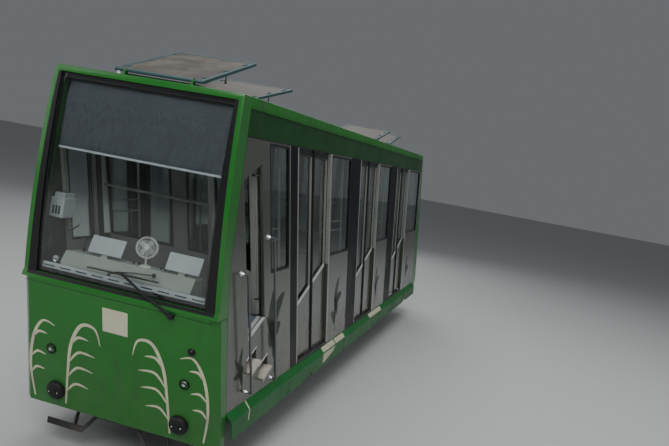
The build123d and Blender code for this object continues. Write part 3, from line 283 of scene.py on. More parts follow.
def tube(bm, path, radius, sides=10):
    """Round bar along a run of points, mitred at its bends and capped."""
    path = [Vector(p) for p in path]
    up = (path[1] - path[0]).normalized().orthogonal().normalized()
    rings = []
    for i, point in enumerate(path):
        ahead = (path[min(i + 1, len(path) - 1)] - path[max(i - 1, 0)]).normalized()
        up = (up - ahead * up.dot(ahead)).normalized()
        across = ahead.cross(up)
        stretch, fold = 1.0, None
        if 0 < i < len(path) - 1:
            before, after = point - path[i - 1], path[i + 1] - point
            stretch = 1 / max(math.cos(before.angle(after) / 2), 0.5)
            if stretch > 1.001:
                fold = before.cross(after).normalized().cross(ahead)
        ring = []
        for a in turns(sides):
            offset = up * math.cos(a) + across * math.sin(a)
            if fold:
                offset += fold * offset.dot(fold) * (stretch - 1)
            ring.append(point + offset * radius)
        rings.append(points(bm, ring))
    shell(bm, rings)


def lathe(bm, origin, axis, profile, sides=24, loop=False):
    """Body of revolution: profile is (radius, distance along the axis); loop joins its ends."""
    axis = Vector(axis).normalized()
    u = axis.orthogonal().normalized()
    v = axis.cross(u)
    rings = []
    for r, h in profile:
        middle = Vector(origin) + axis * h
        ring = [middle + (u * math.cos(a) + v * math.sin(a)) * r for a in turns(sides)]
        rings.append(points(bm, ring if r > 0 else [middle]))
    shell(bm, rings, loop)


def bolts(bm, out, places, radius, height, sides=12):
    """Domed heads at places, facing out."""
    shares = ((1, 0.35), (0.72, 0.8), (0.3, 1), (0, 1.04))
    profile = [(radius, -0.002)] + [(radius * across, height * up) for across, up in shares]
    for place in places:
        lathe(bm, place, out, profile, sides)


def curve_points(controls):
    """Smooth flat run through 2-D control points."""
    ends = [controls[0], *controls, controls[-1]]
    run = []
    for i in range(1, len(ends) - 2):
        p0, p1, p2, p3 = (Vector(p) for p in ends[i - 1 : i + 3])
        pull, bow = 2 * p0 - 5 * p1 + 4 * p2 - p3, 3 * p1 - p0 - 3 * p2 + p3
        for k in range(CURVE_STEPS):
            t = k / CURVE_STEPS
            run.append(0.5 * (2 * p1 + (p2 - p0) * t + pull * t**2 + bow * t**3))
    run.append(Vector(controls[-1]))
    return run


def ribbon(bm, place, controls, widths):
    """Thin film on a surface along a smooth line; widths are at its start, middle and end."""
    run = curve_points(controls)
    last = len(run) - 1
    start, middle, end = widths
    rows = []
    for i, point in enumerate(run):
        ahead = (run[min(i + 1, last)] - run[max(i - 1, 0)]).normalized()
        tip = start if i / last < 0.5 else end
        width = tip + (middle - tip) * math.sin(math.pi * i / last)
        side = Vector((-ahead.y, ahead.x)) * width / 2
        section = oblong(point + side, point - side, FILM_LIFT, FILM_LIFT + FILM_THICK)
        rows.append(points(bm, [place(*spot, out) for spot, out in section]))
    shell(bm, rows)


def leaf_shape(bm, place, foot, tip, width, bend):
    """One pointed leaf on a surface, from its foot to its tip."""
    foot, tip = Vector(foot), Vector(tip)
    middle = (foot + tip) / 2 + Vector((-(tip - foot).y, (tip - foot).x)) * bend
    ribbon(bm, place, [foot, middle, tip], (width * 0.12, width, width * 0.04))


def screen_strip(bm, y0, y1, z0, z1, behind, thick, steps=14):
    """Curved strip across the car that follows the windscreen, between two heights."""
    rows = []
    for k in range(steps + 1):
        z = z0 + (z1 - z0) * k / steps
        section = oblong(y0, y1, behind, behind + thick)
        rows.append(points(bm, [(glass_x(z, depth), y, z) for y, depth in section]))
    shell(bm, rows)


def soften(obj, width, degrees):
    edge = obj.modifiers.new("Edge", "BEVEL")
    edge.width = width
    edge.segments = 2
    edge.limit_method = "ANGLE"
    edge.angle_limit = math.radians(degrees)


@contextmanager
def piece(name, slot, look, body="car_body", bevel=0.0):
    """One named piece: its mesh is filled inside the with block, and it rides on a body."""
    bm = bmesh.new()
    yield bm
    mesh = bpy.data.meshes.new(name)
    bmesh.ops.recalc_face_normals(bm, faces=bm.faces)
    bm.to_mesh(mesh)
    bm.free()
    mesh.shade_smooth()
    mesh.set_sharp_from_angle(angle=math.radians(35))
    mesh.materials.append(FINISH[look])
    obj = bpy.data.objects.new(name, mesh)
    bpy.context.scene.collection.objects.link(obj)
    if bevel:
        soften(obj, bevel, 40)
    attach(obj, body)


# Node helpers and the shader effects that the finishes share

EFFECTS = {}
FINISH = {}
PAINT_DIRT = (0.05, 0.05, 0.045, 1.0)
ROAD_DUST = (0.16, 0.14, 0.115, 1.0)
LAMP_SHARE = (0.75, 0.75, 0.75, 1.0)


def add(tree, kind, values=(), **settings):
    """A node with its settings and the given input values or links."""
    node = tree.nodes.new(kind)
    for key, value in settings.items():
        setattr(node, key, value)
    for key, value in dict(values).items():
        if isinstance(value, bpy.types.NodeSocket):
            tree.links.new(value, node.inputs[key])
        else:
            node.inputs[key].default_value = value
    return node


def maths(tree, operation, a, b=0.0, clamp=False):
    return add(tree, "ShaderNodeMath", {0: a, 1: b}, operation=operation, use_clamp=clamp).outputs[0]


def times(tree, a, b, clamp=False):
    return maths(tree, "MULTIPLY", a, b, clamp)


def vector_maths(tree, operation, values, output=0):
    return add(tree, "ShaderNodeVectorMath", values, operation=operation).outputs[output]


def blend_colour(tree, factor, a, b):
    return add(tree, "ShaderNodeMix", {0: factor, 6: a, 7: b}, data_type="RGBA").outputs[2]


def span(tree, value, low, high, to_low=0.0, to_high=1.0):
    values = {0: value, 1: low, 2: high, 3: to_low, 4: to_high}
    return add(tree, "ShaderNodeMapRange", values, clamp=True).outputs[0]


def noise(tree, vector, scale, detail=3.0, rough=0.55):
    values = {"Vector": vector, "Scale": scale, "Detail": detail, "Roughness": rough}
    return add(tree, "ShaderNodeTexNoise", values).outputs["Fac"]


def surface_variation(tree, given):
    """Broad and fine mottling of a colour and a roughness, and a grain's height."""
    broad = noise(tree, given["Vector"], given["Scale"], 4.0)
    fine = noise(tree, given["Vector"], times(tree, given["Scale"], 9.0), 5.0, 0.65)
    mixed = maths(tree, "ADD", times(tree, broad, 0.65), times(tree, fine, 0.35))
    mask = span(tree, mixed, 0.35, 0.68)
    mottle = times(tree, mask, given["Mottle"])
    swing = times(tree, maths(tree, "SUBTRACT", mask, 0.5), given["Roughness Spread"])
    grain = times(tree, noise(tree, given["Vector"], given["Grain Scale"], 2.0), given["Grain"])
    return {
        "Colour": blend_colour(tree, mottle, given["Colour"], given["Second Colour"]),
        "Roughness": maths(tree, "ADD", given["Roughness"], swing, clamp=True),
        "Height": maths(tree, "ADD", grain, times(tree, broad, 0.5)),
    }


def rain_streaks(tree, given):
    """Upright streaks in patches."""
    run = add(tree, "ShaderNodeMapping", {"Vector": given["Vector"], "Scale": (1.0, 1.0, 0.09)})
    lines = span(tree, noise(tree, run.outputs[0], given["Scale"], 4.0, 0.7), 0.5, 0.72)
    patch = span(tree, noise(tree, given["Vector"], 1.3, 2.0), 0.42, 0.62)
    return {"Mask": times(tree, times(tree, lines, patch), given["Amount"])}


def road_dust(tree, given):
    """Ragged dust that fades between two heights."""
    height = add(tree, "ShaderNodeSeparateXYZ", {0: given["Vector"]}).outputs[2]
    fall = span(tree, height, given["Low"], given["High"], 1.0, 0.0)
    ragged = times(tree, fall, span(tree, noise(tree, given["Vector"], 7.0, 5.0), 0.3, 0.7))
    return {"Mask": times(tree, ragged, given["Amount"], clamp=True)}


def edge_wear(tree, given):
    """Broken wear along sharp edges."""
    soft = add(tree, "ShaderNodeBevel", {"Radius": given["Radius"]}, samples=4).outputs[0]
    true = add(tree, "ShaderNodeNewGeometry").outputs["Normal"]
    dot = vector_maths(tree, "DOT_PRODUCT", {0: soft, 1: true}, "Value")
    edge = span(tree, maths(tree, "SUBTRACT", 1.0, dot), 0.01, 0.12)
    broken = span(tree, noise(tree, given["Vector"], 30.0, 5.0, 0.7), 0.42, 0.6)
    return {"Mask": times(tree, times(tree, edge, broken), given["Amount"])}


def raised_pattern(tree, given):
    """Round studs on a square grid."""
    count = maths(tree, "DIVIDE", 1.0, given["Pitch"])
    cells = vector_maths(tree, "SCALE", {0: given["Vector"], 3: count})
    folded = vector_maths(tree, "FRACTION", {0: cells})
    middle = vector_maths(tree, "SUBTRACT", {0: folded, 1: (0.5, 0.5, 0.5)})
    parts = add(tree, "ShaderNodeSeparateXYZ", {0: middle}).outputs
    squares = [maths(tree, "POWER", parts[k], 2.0) for k in (0, 1)]
    reach = maths(tree, "SQRT", maths(tree, "ADD", *squares))
    start = maths(tree, "SUBTRACT", given["Share"], 0.08)
    stud = span(tree, reach, start, given["Share"], 1.0, 0.0)
    return {"Mask": stud, "Height": stud}


EFFECT_INPUTS = {
    surface_variation: {
        "Colour": (0.5, 0.5, 0.5, 1), "Second Colour": (0.4, 0.4, 0.4, 1), "Scale": 4.0, "Mottle": 0.4,
        "Roughness": 0.4, "Roughness Spread": 0.1, "Grain Scale": 400.0, "Grain": 0.3,
    },
    rain_streaks: {"Scale": 9.0, "Amount": 0.4},
    road_dust: {"Low": 0.3, "High": 1.2, "Amount": 0.5},
    edge_wear: {"Radius": 0.006, "Amount": 0.5},
    raised_pattern: {"Pitch": 0.03, "Share": 0.35},
}


def build_effect(build, inputs):
    """Node group with the given inputs and the outputs that build makes from them."""
    tree = bpy.data.node_groups.new(build.__name__, "ShaderNodeTree")
    for label, default in {"Vector": (0, 0, 0), **inputs}.items():
        kind = "Float" if isinstance(default, float) else {3: "Vector", 4: "Color"}[len(default)]
        socket = tree.interface.new_socket(name=label, in_out="INPUT", socket_type="NodeSocket" + kind)
        socket.default_value = default
    made = build(tree, tree.nodes.new("NodeGroupInput").outputs)
    for label in made:
        kind = "NodeSocketColor" if label == "Colour" else "NodeSocketFloat"
        tree.interface.new_socket(name=label, in_out="OUTPUT", socket_type=kind)
    add(tree, "NodeGroupOutput", made)
    return tree


def use(tree, build, values):
    return add(tree, "ShaderNodeGroup", values, node_tree=EFFECTS[build]).outputs


def shade(colour, factor):
    return (colour[0] * factor, colour[1] * factor, colour[2] * factor, 1.0)


def varied(name, colour, second, scale, mottle, rough, spread, grain_scale, grain):
    """A new material, its coordinates and its varied colour, roughness and height."""
    material = bpy.data.materials.new(name)
    material.use_nodes = True
    where = add(material.node_tree, "ShaderNodeTexCoord").outputs["Object"]
    values = {
        "Vector": where, "Colour": shade(colour, 1), "Second Colour": second, "Scale": scale,
        "Mottle": mottle, "Roughness": rough, "Roughness Spread": spread,
        "Grain Scale": grain_scale, "Grain": grain,
    }
    return material, where, use(material.node_tree, surface_variation, values)


def finish(
    name, colour, rough, spread=0.12, second=None, scale=3.0, mottle=0.5, grain=0.25, grain_scale=420.0,
    bump=0.12, metal=0.0, coat=0.0, streaks=0.0, dust=0.0, dust_z=(0.35, 1.1), wear=0.0,
    bare=(0.5, 0.5, 0.48, 1.0), pattern=None, gloss=0.35,
):
    """An opaque finish: paint, metal, rubber, plastic or cloth, from the shared effects."""
    material, where, base = varied(
        name, colour, second or shade(colour, 0.72), scale, mottle, rough, spread, grain_scale, grain
    )
    tree = material.node_tree
    shader = tree.nodes["Principled BSDF"].inputs
    shown, roughness, height = base["Colour"], base["Roughness"], base["Height"]
    if pattern:
        pitch, share, strength, tint, rise = pattern
        stud = use(tree, raised_pattern, {"Vector": where, "Pitch": pitch, "Share": share})
        shown = blend_colour(tree, times(tree, stud["Mask"], strength), shown, shade(colour, tint))
        height = maths(tree, "ADD", height, times(tree, stud["Height"], rise))
    if streaks:
        mask = use(tree, rain_streaks, {"Vector": where, "Amount": streaks})["Mask"]
        shown = blend_colour(tree, mask, shown, PAINT_DIRT)
        roughness = maths(tree, "ADD", roughness, times(tree, mask, 0.3), clamp=True)
    if dust:
        low, high = dust_z
        values = {"Vector": where, "Low": low, "High": high, "Amount": dust}
        mask = use(tree, road_dust, values)["Mask"]
        shown = blend_colour(tree, mask, shown, ROAD_DUST)
        roughness = maths(tree, "ADD", roughness, times(tree, mask, 0.45), clamp=True)
    if wear:
        mask = use(tree, edge_wear, {"Vector": where, "Amount": wear})["Mask"]
        shown = blend_colour(tree, mask, shown, bare)
    bumped = add(tree, "ShaderNodeBump", {"Strength": bump, "Distance": 0.002, "Height": height})
    tree.links.new(shown, shader["Base Color"])
    tree.links.new(roughness, shader["Roughness"])
    tree.links.new(bumped.outputs[0], shader["Normal"])
    shader["Metallic"].default_value = metal
    shader["Coat Weight"].default_value = coat
    shader["Coat Roughness"].default_value = 0.12
    shader["Specular IOR Level"].default_value = gloss
    return material


def glass(name, colour, rough=0.02):
    """Clear pane that lets lamps through, with faint smears."""
    material, _, base = varied(name, colour, shade(colour, 0.9), 2.0, 0.5, rough, rough * 1.5, 60.0, 0.0)
    tree = material.node_tree
    shader = tree.nodes["Principled BSDF"]
    tree.links.new(base["Colour"], shader.inputs["Base Color"])
    tree.links.new(base["Roughness"], shader.inputs["Roughness"])
    shader.inputs["Transmission Weight"].default_value = 1.0
    shader.inputs["IOR"].default_value = 1.45
    clear = add(tree, "ShaderNodeBsdfTransparent", {"Color": LAMP_SHARE})
    lamp_ray = add(tree, "ShaderNodeLightPath").outputs["Is Shadow Ray"]
    mixed = add(tree, "ShaderNodeMixShader", {0: lamp_ray, 1: shader.outputs[0], 2: clear.outputs[0]})
    tree.links.new(mixed.outputs[0], tree.nodes["Material Output"].inputs["Surface"])
    return material


def colour_property(name, description, default):
    return bpy.props.FloatVectorProperty(
        name=name, description=description, default=default, subtype="COLOR", size=3, min=0.0, max=1.0
    )


def length_property(name, description, default, low, high):
    return bpy.props.FloatProperty(
        name=name, description=description, default=default, min=low, max=high,
        unit="LENGTH", subtype="DISTANCE",
    )


class FunicularColours(bpy.types.PropertyGroup):
    """Colours of the car's finishes."""

    body_green: colour_property(
        "Body green", "Paint of the ends, the corner strips and the roof", (0.012, 0.155, 0.016)
    )
    band_green: colour_property("Band green", "Paint of the band above the windows", (0.006, 0.058, 0.010))
    skirt_green: colour_property("Skirt green", "Paint of the skirts", (0.010, 0.135, 0.028))
    panel_grey: colour_property(
        "Panel grey", "Glossy film on the side panels and door leaves", (0.060, 0.067, 0.051)
    )
    frame_grey: colour_property("Frame grey", "Mullions, window rims and cab leaf", (0.27, 0.285, 0.26))
    pillar_black: colour_property("Pillar black", "Paint of the door pillars", (0.004, 0.005, 0.008))
    # Cream also paints the sunlight patches on the ledges (the pale blocks) and the highlight on a skirt seam
    cream: colour_property("Cream", "Line decoration and pale blocks", (0.60, 0.58, 0.42))
    plant_green: colour_property("Plant green", "Plant decoration on the side panels", (0.007, 0.019, 0.008))
    hatch_blue: colour_property("Hatch blue", "Tube frames of the roof hatches", (0.045, 0.090, 0.098))
    cabin_grey: colour_property("Cabin grey", "Console and cab fittings", (0.24, 0.265, 0.24))
    seat_green: colour_property("Seat green", "Moulded passenger seats", (0.05, 0.15, 0.07))


class FunicularSizes(bpy.types.PropertyGroup):
    """Sizes of the pieces that dress the car."""

    pane: length_property("Pane", "Thickness of a leaf's glass", 0.005, 0.003, 0.012)
    gasket: length_property("Gasket", "Width of a window rubber", 0.014, 0.006, 0.03)
    bar: length_property("Guard bar", "Radius of the bars inside the windows", 0.008, 0.004, 0.02)
    rivet: length_property("Rivet", "Radius of a rivet head", 0.005, 0.002, 0.01)
    blind_drop: length_property("Blind drop", "Height of the blind's hem above the rails", 2.645, 2.0, 3.1)
    line: length_property("Line width", "Width of the cream lines at their middle", 0.03, 0.01, 0.06)


LEAF_NODES = [f"door_{name}_{n}_{hand}" for name, _ in SIDES for n in (1, 2, 3) for hand in ("up", "down")]
HATCH_NODES = [f"roof_hatch_{n}" for n in (1, 2, 3, 4)]
NODE_FINISHES = {
    "green": "front_apron front_frame rear_frame rear_apron",
    "roof": "roof_shell hatch_curbs",
    "band": "cant_bands",
    "skirt": "skirts",
    "panel": " ".join(["side_panels_right side_panels_left", *LEAF_NODES]),
    "frame": "cab_door_right cab_door_left",
    "pillar": "door_pillars",
    "window": "side_windows rear_window",
    "screen": "windscreen",
    "rail": "handrails door_rails grab_poles cab_hinges",
    "wheel": "wheels_uphill wheels_downhill axle_uphill axle_downhill",
    "iron": "axle_boxes suspension_springs rope_socket track_brakes",
    "dark_steel": "underframe cross_bearers rail_guards door_thresholds",
    "rubber": "buffers",
    "lens": "lamps",
    "cabin": "console",
    "lining": "cab_partition boarding_steps",
    "seat": "benches",
    "floor": "floor_deck cab_floor",
    "wiper": "wiper",
    "hatch": " ".join(HATCH_NODES),
}
SOFT_EDGES = {
    0.012: "console benches",
    0.007: " ".join(HATCH_NODES),
    0.006: "front_frame rear_frame roof_shell",
    0.005: "front_apron rear_apron",
    0.004: "skirts underframe cross_bearers",
    0.003: "cant_bands hatch_curbs door_pillars cab_door_right cab_door_left cab_partition",
    0.002: " ".join(["side_panels_right side_panels_left boarding_steps door_thresholds", *LEAF_NODES]),
}


class OBJECT_OT_funicular_finishes(bpy.types.Operator):
    """Make the car's finishes and lay them on the frame's own parts"""

    bl_idname = "object.funicular_finishes"
    bl_label = "Finishes"

    def execute(self, context):
        EFFECTS.update({build: build_effect(build, inputs) for build, inputs in EFFECT_INPUTS.items()})
        colours = context.scene.funicular_colours
        green, band, skirts, panel, frame_grey, pillar, cream, plant, hatch, cabin, seat = (
            tuple(getattr(colours, key)) for key in FunicularColours.__annotations__
        )
        FINISH.update({
            "green": finish("body_paint", green, 0.34, coat=0.25, streaks=0.35, wear=0.25,
                bare=(0.10, 0.24, 0.10, 1), dust=0.25, dust_z=(0.35, 1.0)),
            "roof": finish("roof_paint", shade(green, 1.1)[:3], 0.45, gloss=0.25, mottle=0.7, scale=2.0,
                streaks=0.6, dust=0.35, dust_z=(3.9, 3.0), wear=0.3, bare=(0.2, 0.3, 0.15, 1)),
            "band": finish("band_paint", band, 0.42, gloss=0.2, streaks=0.35, wear=0.2,
                bare=(0.05, 0.12, 0.06, 1)),
            "skirt": finish("skirt_paint", skirts, 0.42, gloss=0.2, mottle=0.6, streaks=0.5, dust=0.35,
                dust_z=(0.42, 0.62), wear=0.4, bare=(0.10, 0.18, 0.10, 1)),
            "panel": finish("panel_film", panel, 0.20, spread=0.08, coat=0.4, mottle=0.35, streaks=0.3,
                dust=0.55, dust_z=(0.65, 1.25), bump=0.05),
            "frame": finish("frame_paint", frame_grey, 0.34, coat=0.25, streaks=0.35, wear=0.3,
                bare=(0.5, 0.5, 0.46, 1)),
            "pillar": finish("pillar_paint", pillar, 0.42, gloss=0.12, streaks=0.2, dust=0.4,
                dust_z=(0.65, 1.1)),
            "bright": finish("sill_metal", (0.66, 0.68, 0.66), 0.42, metal=0.25, mottle=0.6, grain=0.5,
                wear=0.3, bare=(0.75, 0.75, 0.72, 1)),
            "rail": finish("rail_steel", (0.16, 0.17, 0.17), 0.34, metal=0.85, mottle=0.6, grain=0.4,
                wear=0.5, bare=(0.6, 0.6, 0.58, 1)),
            "chrome": finish("bright_metal", (0.75, 0.76, 0.76), 0.16, metal=1.0, mottle=0.3),
            "dark_steel": finish("underframe_paint", (0.022, 0.022, 0.024), 0.55, mottle=0.8, scale=6.0,
                grain=0.7, dust=0.45, dust_z=(0.1, 0.8), wear=0.3, bare=(0.10, 0.085, 0.075, 1), bump=0.3),
            "wheel": finish("wheel_steel", (0.11, 0.10, 0.095), 0.5, metal=0.7, mottle=0.8, scale=8.0,
                grain=0.7, dust=0.5, dust_z=(0.0, 0.7), wear=0.7, bare=(0.55, 0.54, 0.52, 1), bump=0.3),
            "iron": finish("cast_iron", (0.035, 0.034, 0.033), 0.65, metal=0.4, mottle=0.8, scale=9.0,
                grain=0.9, grain_scale=220.0, dust=0.8, dust_z=(0.1, 0.8), bump=0.4),
            "rubber": finish("black_rubber", (0.012, 0.012, 0.013), 0.55, spread=0.2, mottle=0.6,
                scale=14.0, grain=0.6, bump=0.2),
            "trim_black": finish("black_trim", (0.008, 0.008, 0.009), 0.4, mottle=0.5, grain=0.3),
            # cream_film also paints the sunlight patches on the ledges and the highlight on a skirt seam
            "cream": finish("cream_film", cream, 0.4, second=shade(cream, 0.8), scale=9.0, streaks=0.4,
                dust=0.3, dust_z=(0.35, 0.9), bump=0.05),
            "tread": finish("cream_tread", (0.60, 0.58, 0.50), 0.62, second=(0.36, 0.34, 0.29, 1),
                scale=12.0, mottle=0.8, grain=0.9, grain_scale=300.0, streaks=0.6, wear=0.6,
                bare=(0.3, 0.28, 0.22, 1), bump=0.5, pattern=(0.018, 0.3, 0.35, 0.6, 1.0)),
            "plant": finish("plant_film", plant, 0.34, gloss=0.15, second=shade(plant, 1.8), scale=7.0,
                mottle=0.8, bump=0.05),
            "hatch": finish("hatch_tube_paint", hatch, 0.5, gloss=0.15, mottle=0.6, wear=0.35,
                bare=(0.16, 0.19, 0.18, 1)),
            # Smoked acrylic: a dark base colour, with a painted reflection as the lighter brownish second
            # colour in patches
            "acrylic": finish("smoked_acrylic", (0.026, 0.024, 0.022), 0.5, spread=0.2,
                second=(0.15, 0.135, 0.115, 1), scale=5.0, mottle=1.0, bump=0.05, gloss=0.1),
            "cabin": finish("cabin_enamel", cabin, 0.45, mottle=0.5, scale=5.0, grain=0.5, bump=0.2,
                wear=0.3, bare=(0.6, 0.6, 0.55, 1)),
            "lining": finish("wall_lining", (0.17, 0.175, 0.165), 0.5, mottle=0.5, grain=0.5,
                grain_scale=300.0, bump=0.2),
            "seat": finish("moulded_seat", seat, 0.35, mottle=0.4, scale=6.0, grain=0.6,
                grain_scale=260.0, bump=0.25),
            "floor": finish("studded_floor", (0.13, 0.17, 0.22), 0.6, mottle=0.8, scale=5.0, grain=0.6,
                bump=0.5, dust=0.5, dust_z=(0.6, 1.6), pattern=(0.03, 0.34, 0.4, 1.5, 1.4)),
            "aluminium": finish("threshold_metal", (0.42, 0.43, 0.42), 0.4, metal=0.8, mottle=0.7,
                scale=9.0, grain=0.5, wear=0.5, bare=(0.7, 0.7, 0.68, 1), bump=0.3),
            "white": finish("white_enamel", (0.60, 0.61, 0.58), 0.4, mottle=0.5, scale=8.0, streaks=0.3),
            "device": finish("device_shell", (0.36, 0.39, 0.42), 0.42, mottle=0.5, scale=9.0, grain=0.4),
            "blind": finish("blind_mesh", (0.050, 0.058, 0.068), 0.75, mottle=0.7, scale=5.0, grain=0.8,
                grain_scale=900.0, bump=0.6, pattern=(0.004, 0.4, 0.5, 1.7, 1.0)),
            "wiper": finish("wiper_black", (0.012, 0.012, 0.014), 0.45, mottle=0.6, wear=0.3,
                bare=(0.2, 0.2, 0.2, 1)),
            "window": glass("window_glass", (0.50, 0.56, 0.54)),
            "screen": glass("screen_glass", (0.80, 0.84, 0.82)),
            "lens": glass("lamp_glass", (0.92, 0.94, 0.93), rough=0.06),
        })
        for look, names in NODE_FINISHES.items():
            for name in names.split():
                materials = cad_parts[name].data.materials
                materials.clear()
                materials.append(FINISH[look])
        for width, names in SOFT_EDGES.items():
            for name in names.split():
                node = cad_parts[name]
                node.modifiers.new("Weld", "WELD").merge_threshold = 0.00002
                soften(node, width, 35)
        return {"FINISHED"}


def leaf_spans():
    """Each leaf's body, side, window start and end stations, and its door's first station."""
    for name, side in SIDES:
        for number, start in enumerate(DOOR_STARTS, 1):
            door, middle, end = f"door_{name}_{number}", start + LEAF_SPLIT, start + DOOR_WIDTH
            yield f"{door}_up", side, start + LEAF_STILE, middle - LEAF_EDGE, start
            yield f"{door}_down", side, middle + LEAF_EDGE, end - LEAF_STILE, start


class OBJECT_OT_funicular_leaf_glazing(bpy.types.Operator):
    """Glass, window rubbers, level sills and edge rubbers of the sliding leaves"""

    bl_idname = "object.funicular_leaf_glazing"
    bl_label = "Leaf glazing"

    def execute(self, context):
        sizes = context.scene.funicular_sizes
        for body, side, s0, s1, start in leaf_spans():
            z0, z1 = level(start, LEAF_SILL, s0), level(start, LEAF_SILL, s1)
            corners = [(s0, z0), (s1, z1), (s1, LEAF_TOP), (s0, LEAF_TOP)]
            inward = -1 if body.endswith("up") else 1
            edge = (s1 if inward < 0 else s0) - inward * LEAF_EDGE
            with piece(f"{body}_pane", "glass", "window", body) as bm:
                plate(bm, side, corners, LEAF_FACE - 0.0275, sizes.pane)
            with piece(f"{body}_rubber", "rubber", "trim_black", body) as bm:
                rim(bm, side, corners, 0, -sizes.gasket, LEAF_FACE - 0.0222, 0.004)
            with piece(f"{body}_rim", "leaf_grey", "frame", body) as bm:
                rim(bm, side, corners, 0.0135, 0.001, LEAF_FACE - 0.0098, 0.0103)
                rim(bm, side, corners, -0.0003, -0.0045, LEAF_FACE - 0.0178, 0.0178)
            with piece(f"{body}_header", "rubber", "trim_black", body) as bm:
                ring = oblong(s0 - 0.012, s1 + 0.012, LEAF_TOP - 0.002, LEAF_HEAD - 0.010)
                plate(bm, side, ring, LEAF_FACE - 0.001, 0.0018)
            with piece(f"{body}_sill", "rail_steel", "bright", body) as bm:
                ring = sloped(s0 + 0.002, z0, s1 - 0.002, z1, -0.013, 0.032)
                plate(bm, side, ring, LEAF_FACE - 0.0015, 0.0022)
            with piece(f"{body}_finger_guard", "rubber", "rubber", body, bevel=0.003) as bm:
                wide = sorted((edge + inward * 0.0005, edge + inward * 0.0175))
                ring = oblong(*wide, LEAF_FOOT, LEAF_HEAD)
                plate(bm, side, ring, LEAF_FACE - 0.001, 0.016)
                plate(bm, side, ring, LEAF_FACE - LEAF_T + 0.001, -0.006)
            with piece(f"{body}_key_plate", "rail_steel", "chrome", body) as bm:
                profile = [(0.012, -0.002), (0.012, 0.0006), (0.004, 0.0009), (0, 0.0009)]
                lathe(bm, wall(side, edge + inward * 0.036, 1.62, LEAF_FACE), wall_out(side), profile, 16)
        return {"FINISHED"}


def fixed_windows():
    """Corners of each fixed side window: first and last station, then low and high edge."""
    starts = [1.285] + [start + DOOR_WIDTH + MULLION for start in DOOR_STARTS]
    ends = [1.790] + [start - PILLAR_WIDTH - 0.012 for start in DOOR_STARTS[1:]] + [9.720]
    return [oblong(s0, s1, WINDOW_LOW, WINDOW_TOP) for s0, s1 in zip(starts, ends)]


class OBJECT_OT_funicular_side_windows(bpy.types.Operator):
    """Rubbers and inside guard bars of the fixed side windows"""

    bl_idname = "object.funicular_side_windows"
    bl_label = "Side windows"

    def execute(self, context):
        sizes = context.scene.funicular_sizes
        for name, side in SIDES:
            with piece(f"side_window_rubbers_{name}", "rubber", "rubber") as bm:
                for corners in fixed_windows():
                    outer = rounded(wall_ring(side, grown(corners, 0.008), -0.012), 0.03)
                    inner = rounded(wall_ring(side, grown(corners, -sizes.gasket), -0.012), 0.02)
                    collar(bm, outer, inner, wall_out(side) * 0.0135)
            with piece(f"side_window_bars_{name}", "rail_steel", "bright") as bm:
                flange = [(0.026, -0.004), (0.026, 0.004), (0.012, 0.008), (0, 0.009)]
                depth = -0.115
                for (start, _), (end, _), *_ in fixed_windows():
                    s0, s1 = max(start - 0.035, FLOOR_FIRST + 0.02), end + 0.02
                    for z in (2.075, 2.185):
                        tube(bm, [wall(side, s0, z, depth), wall(side, s1, z, depth)], sizes.bar)
                    for s in (s0, s1):
                        foot = wall(side, s, floor_z(s), depth)
                        head = [wall(side, s, HEAD_RAIL_Z, out) for out in (depth, -0.083)]
                        tube(bm, [foot, *head], sizes.bar * 1.3)
                        lathe(bm, foot, (0, 0, 1), flange, 16)
        return {"FINISHED"}


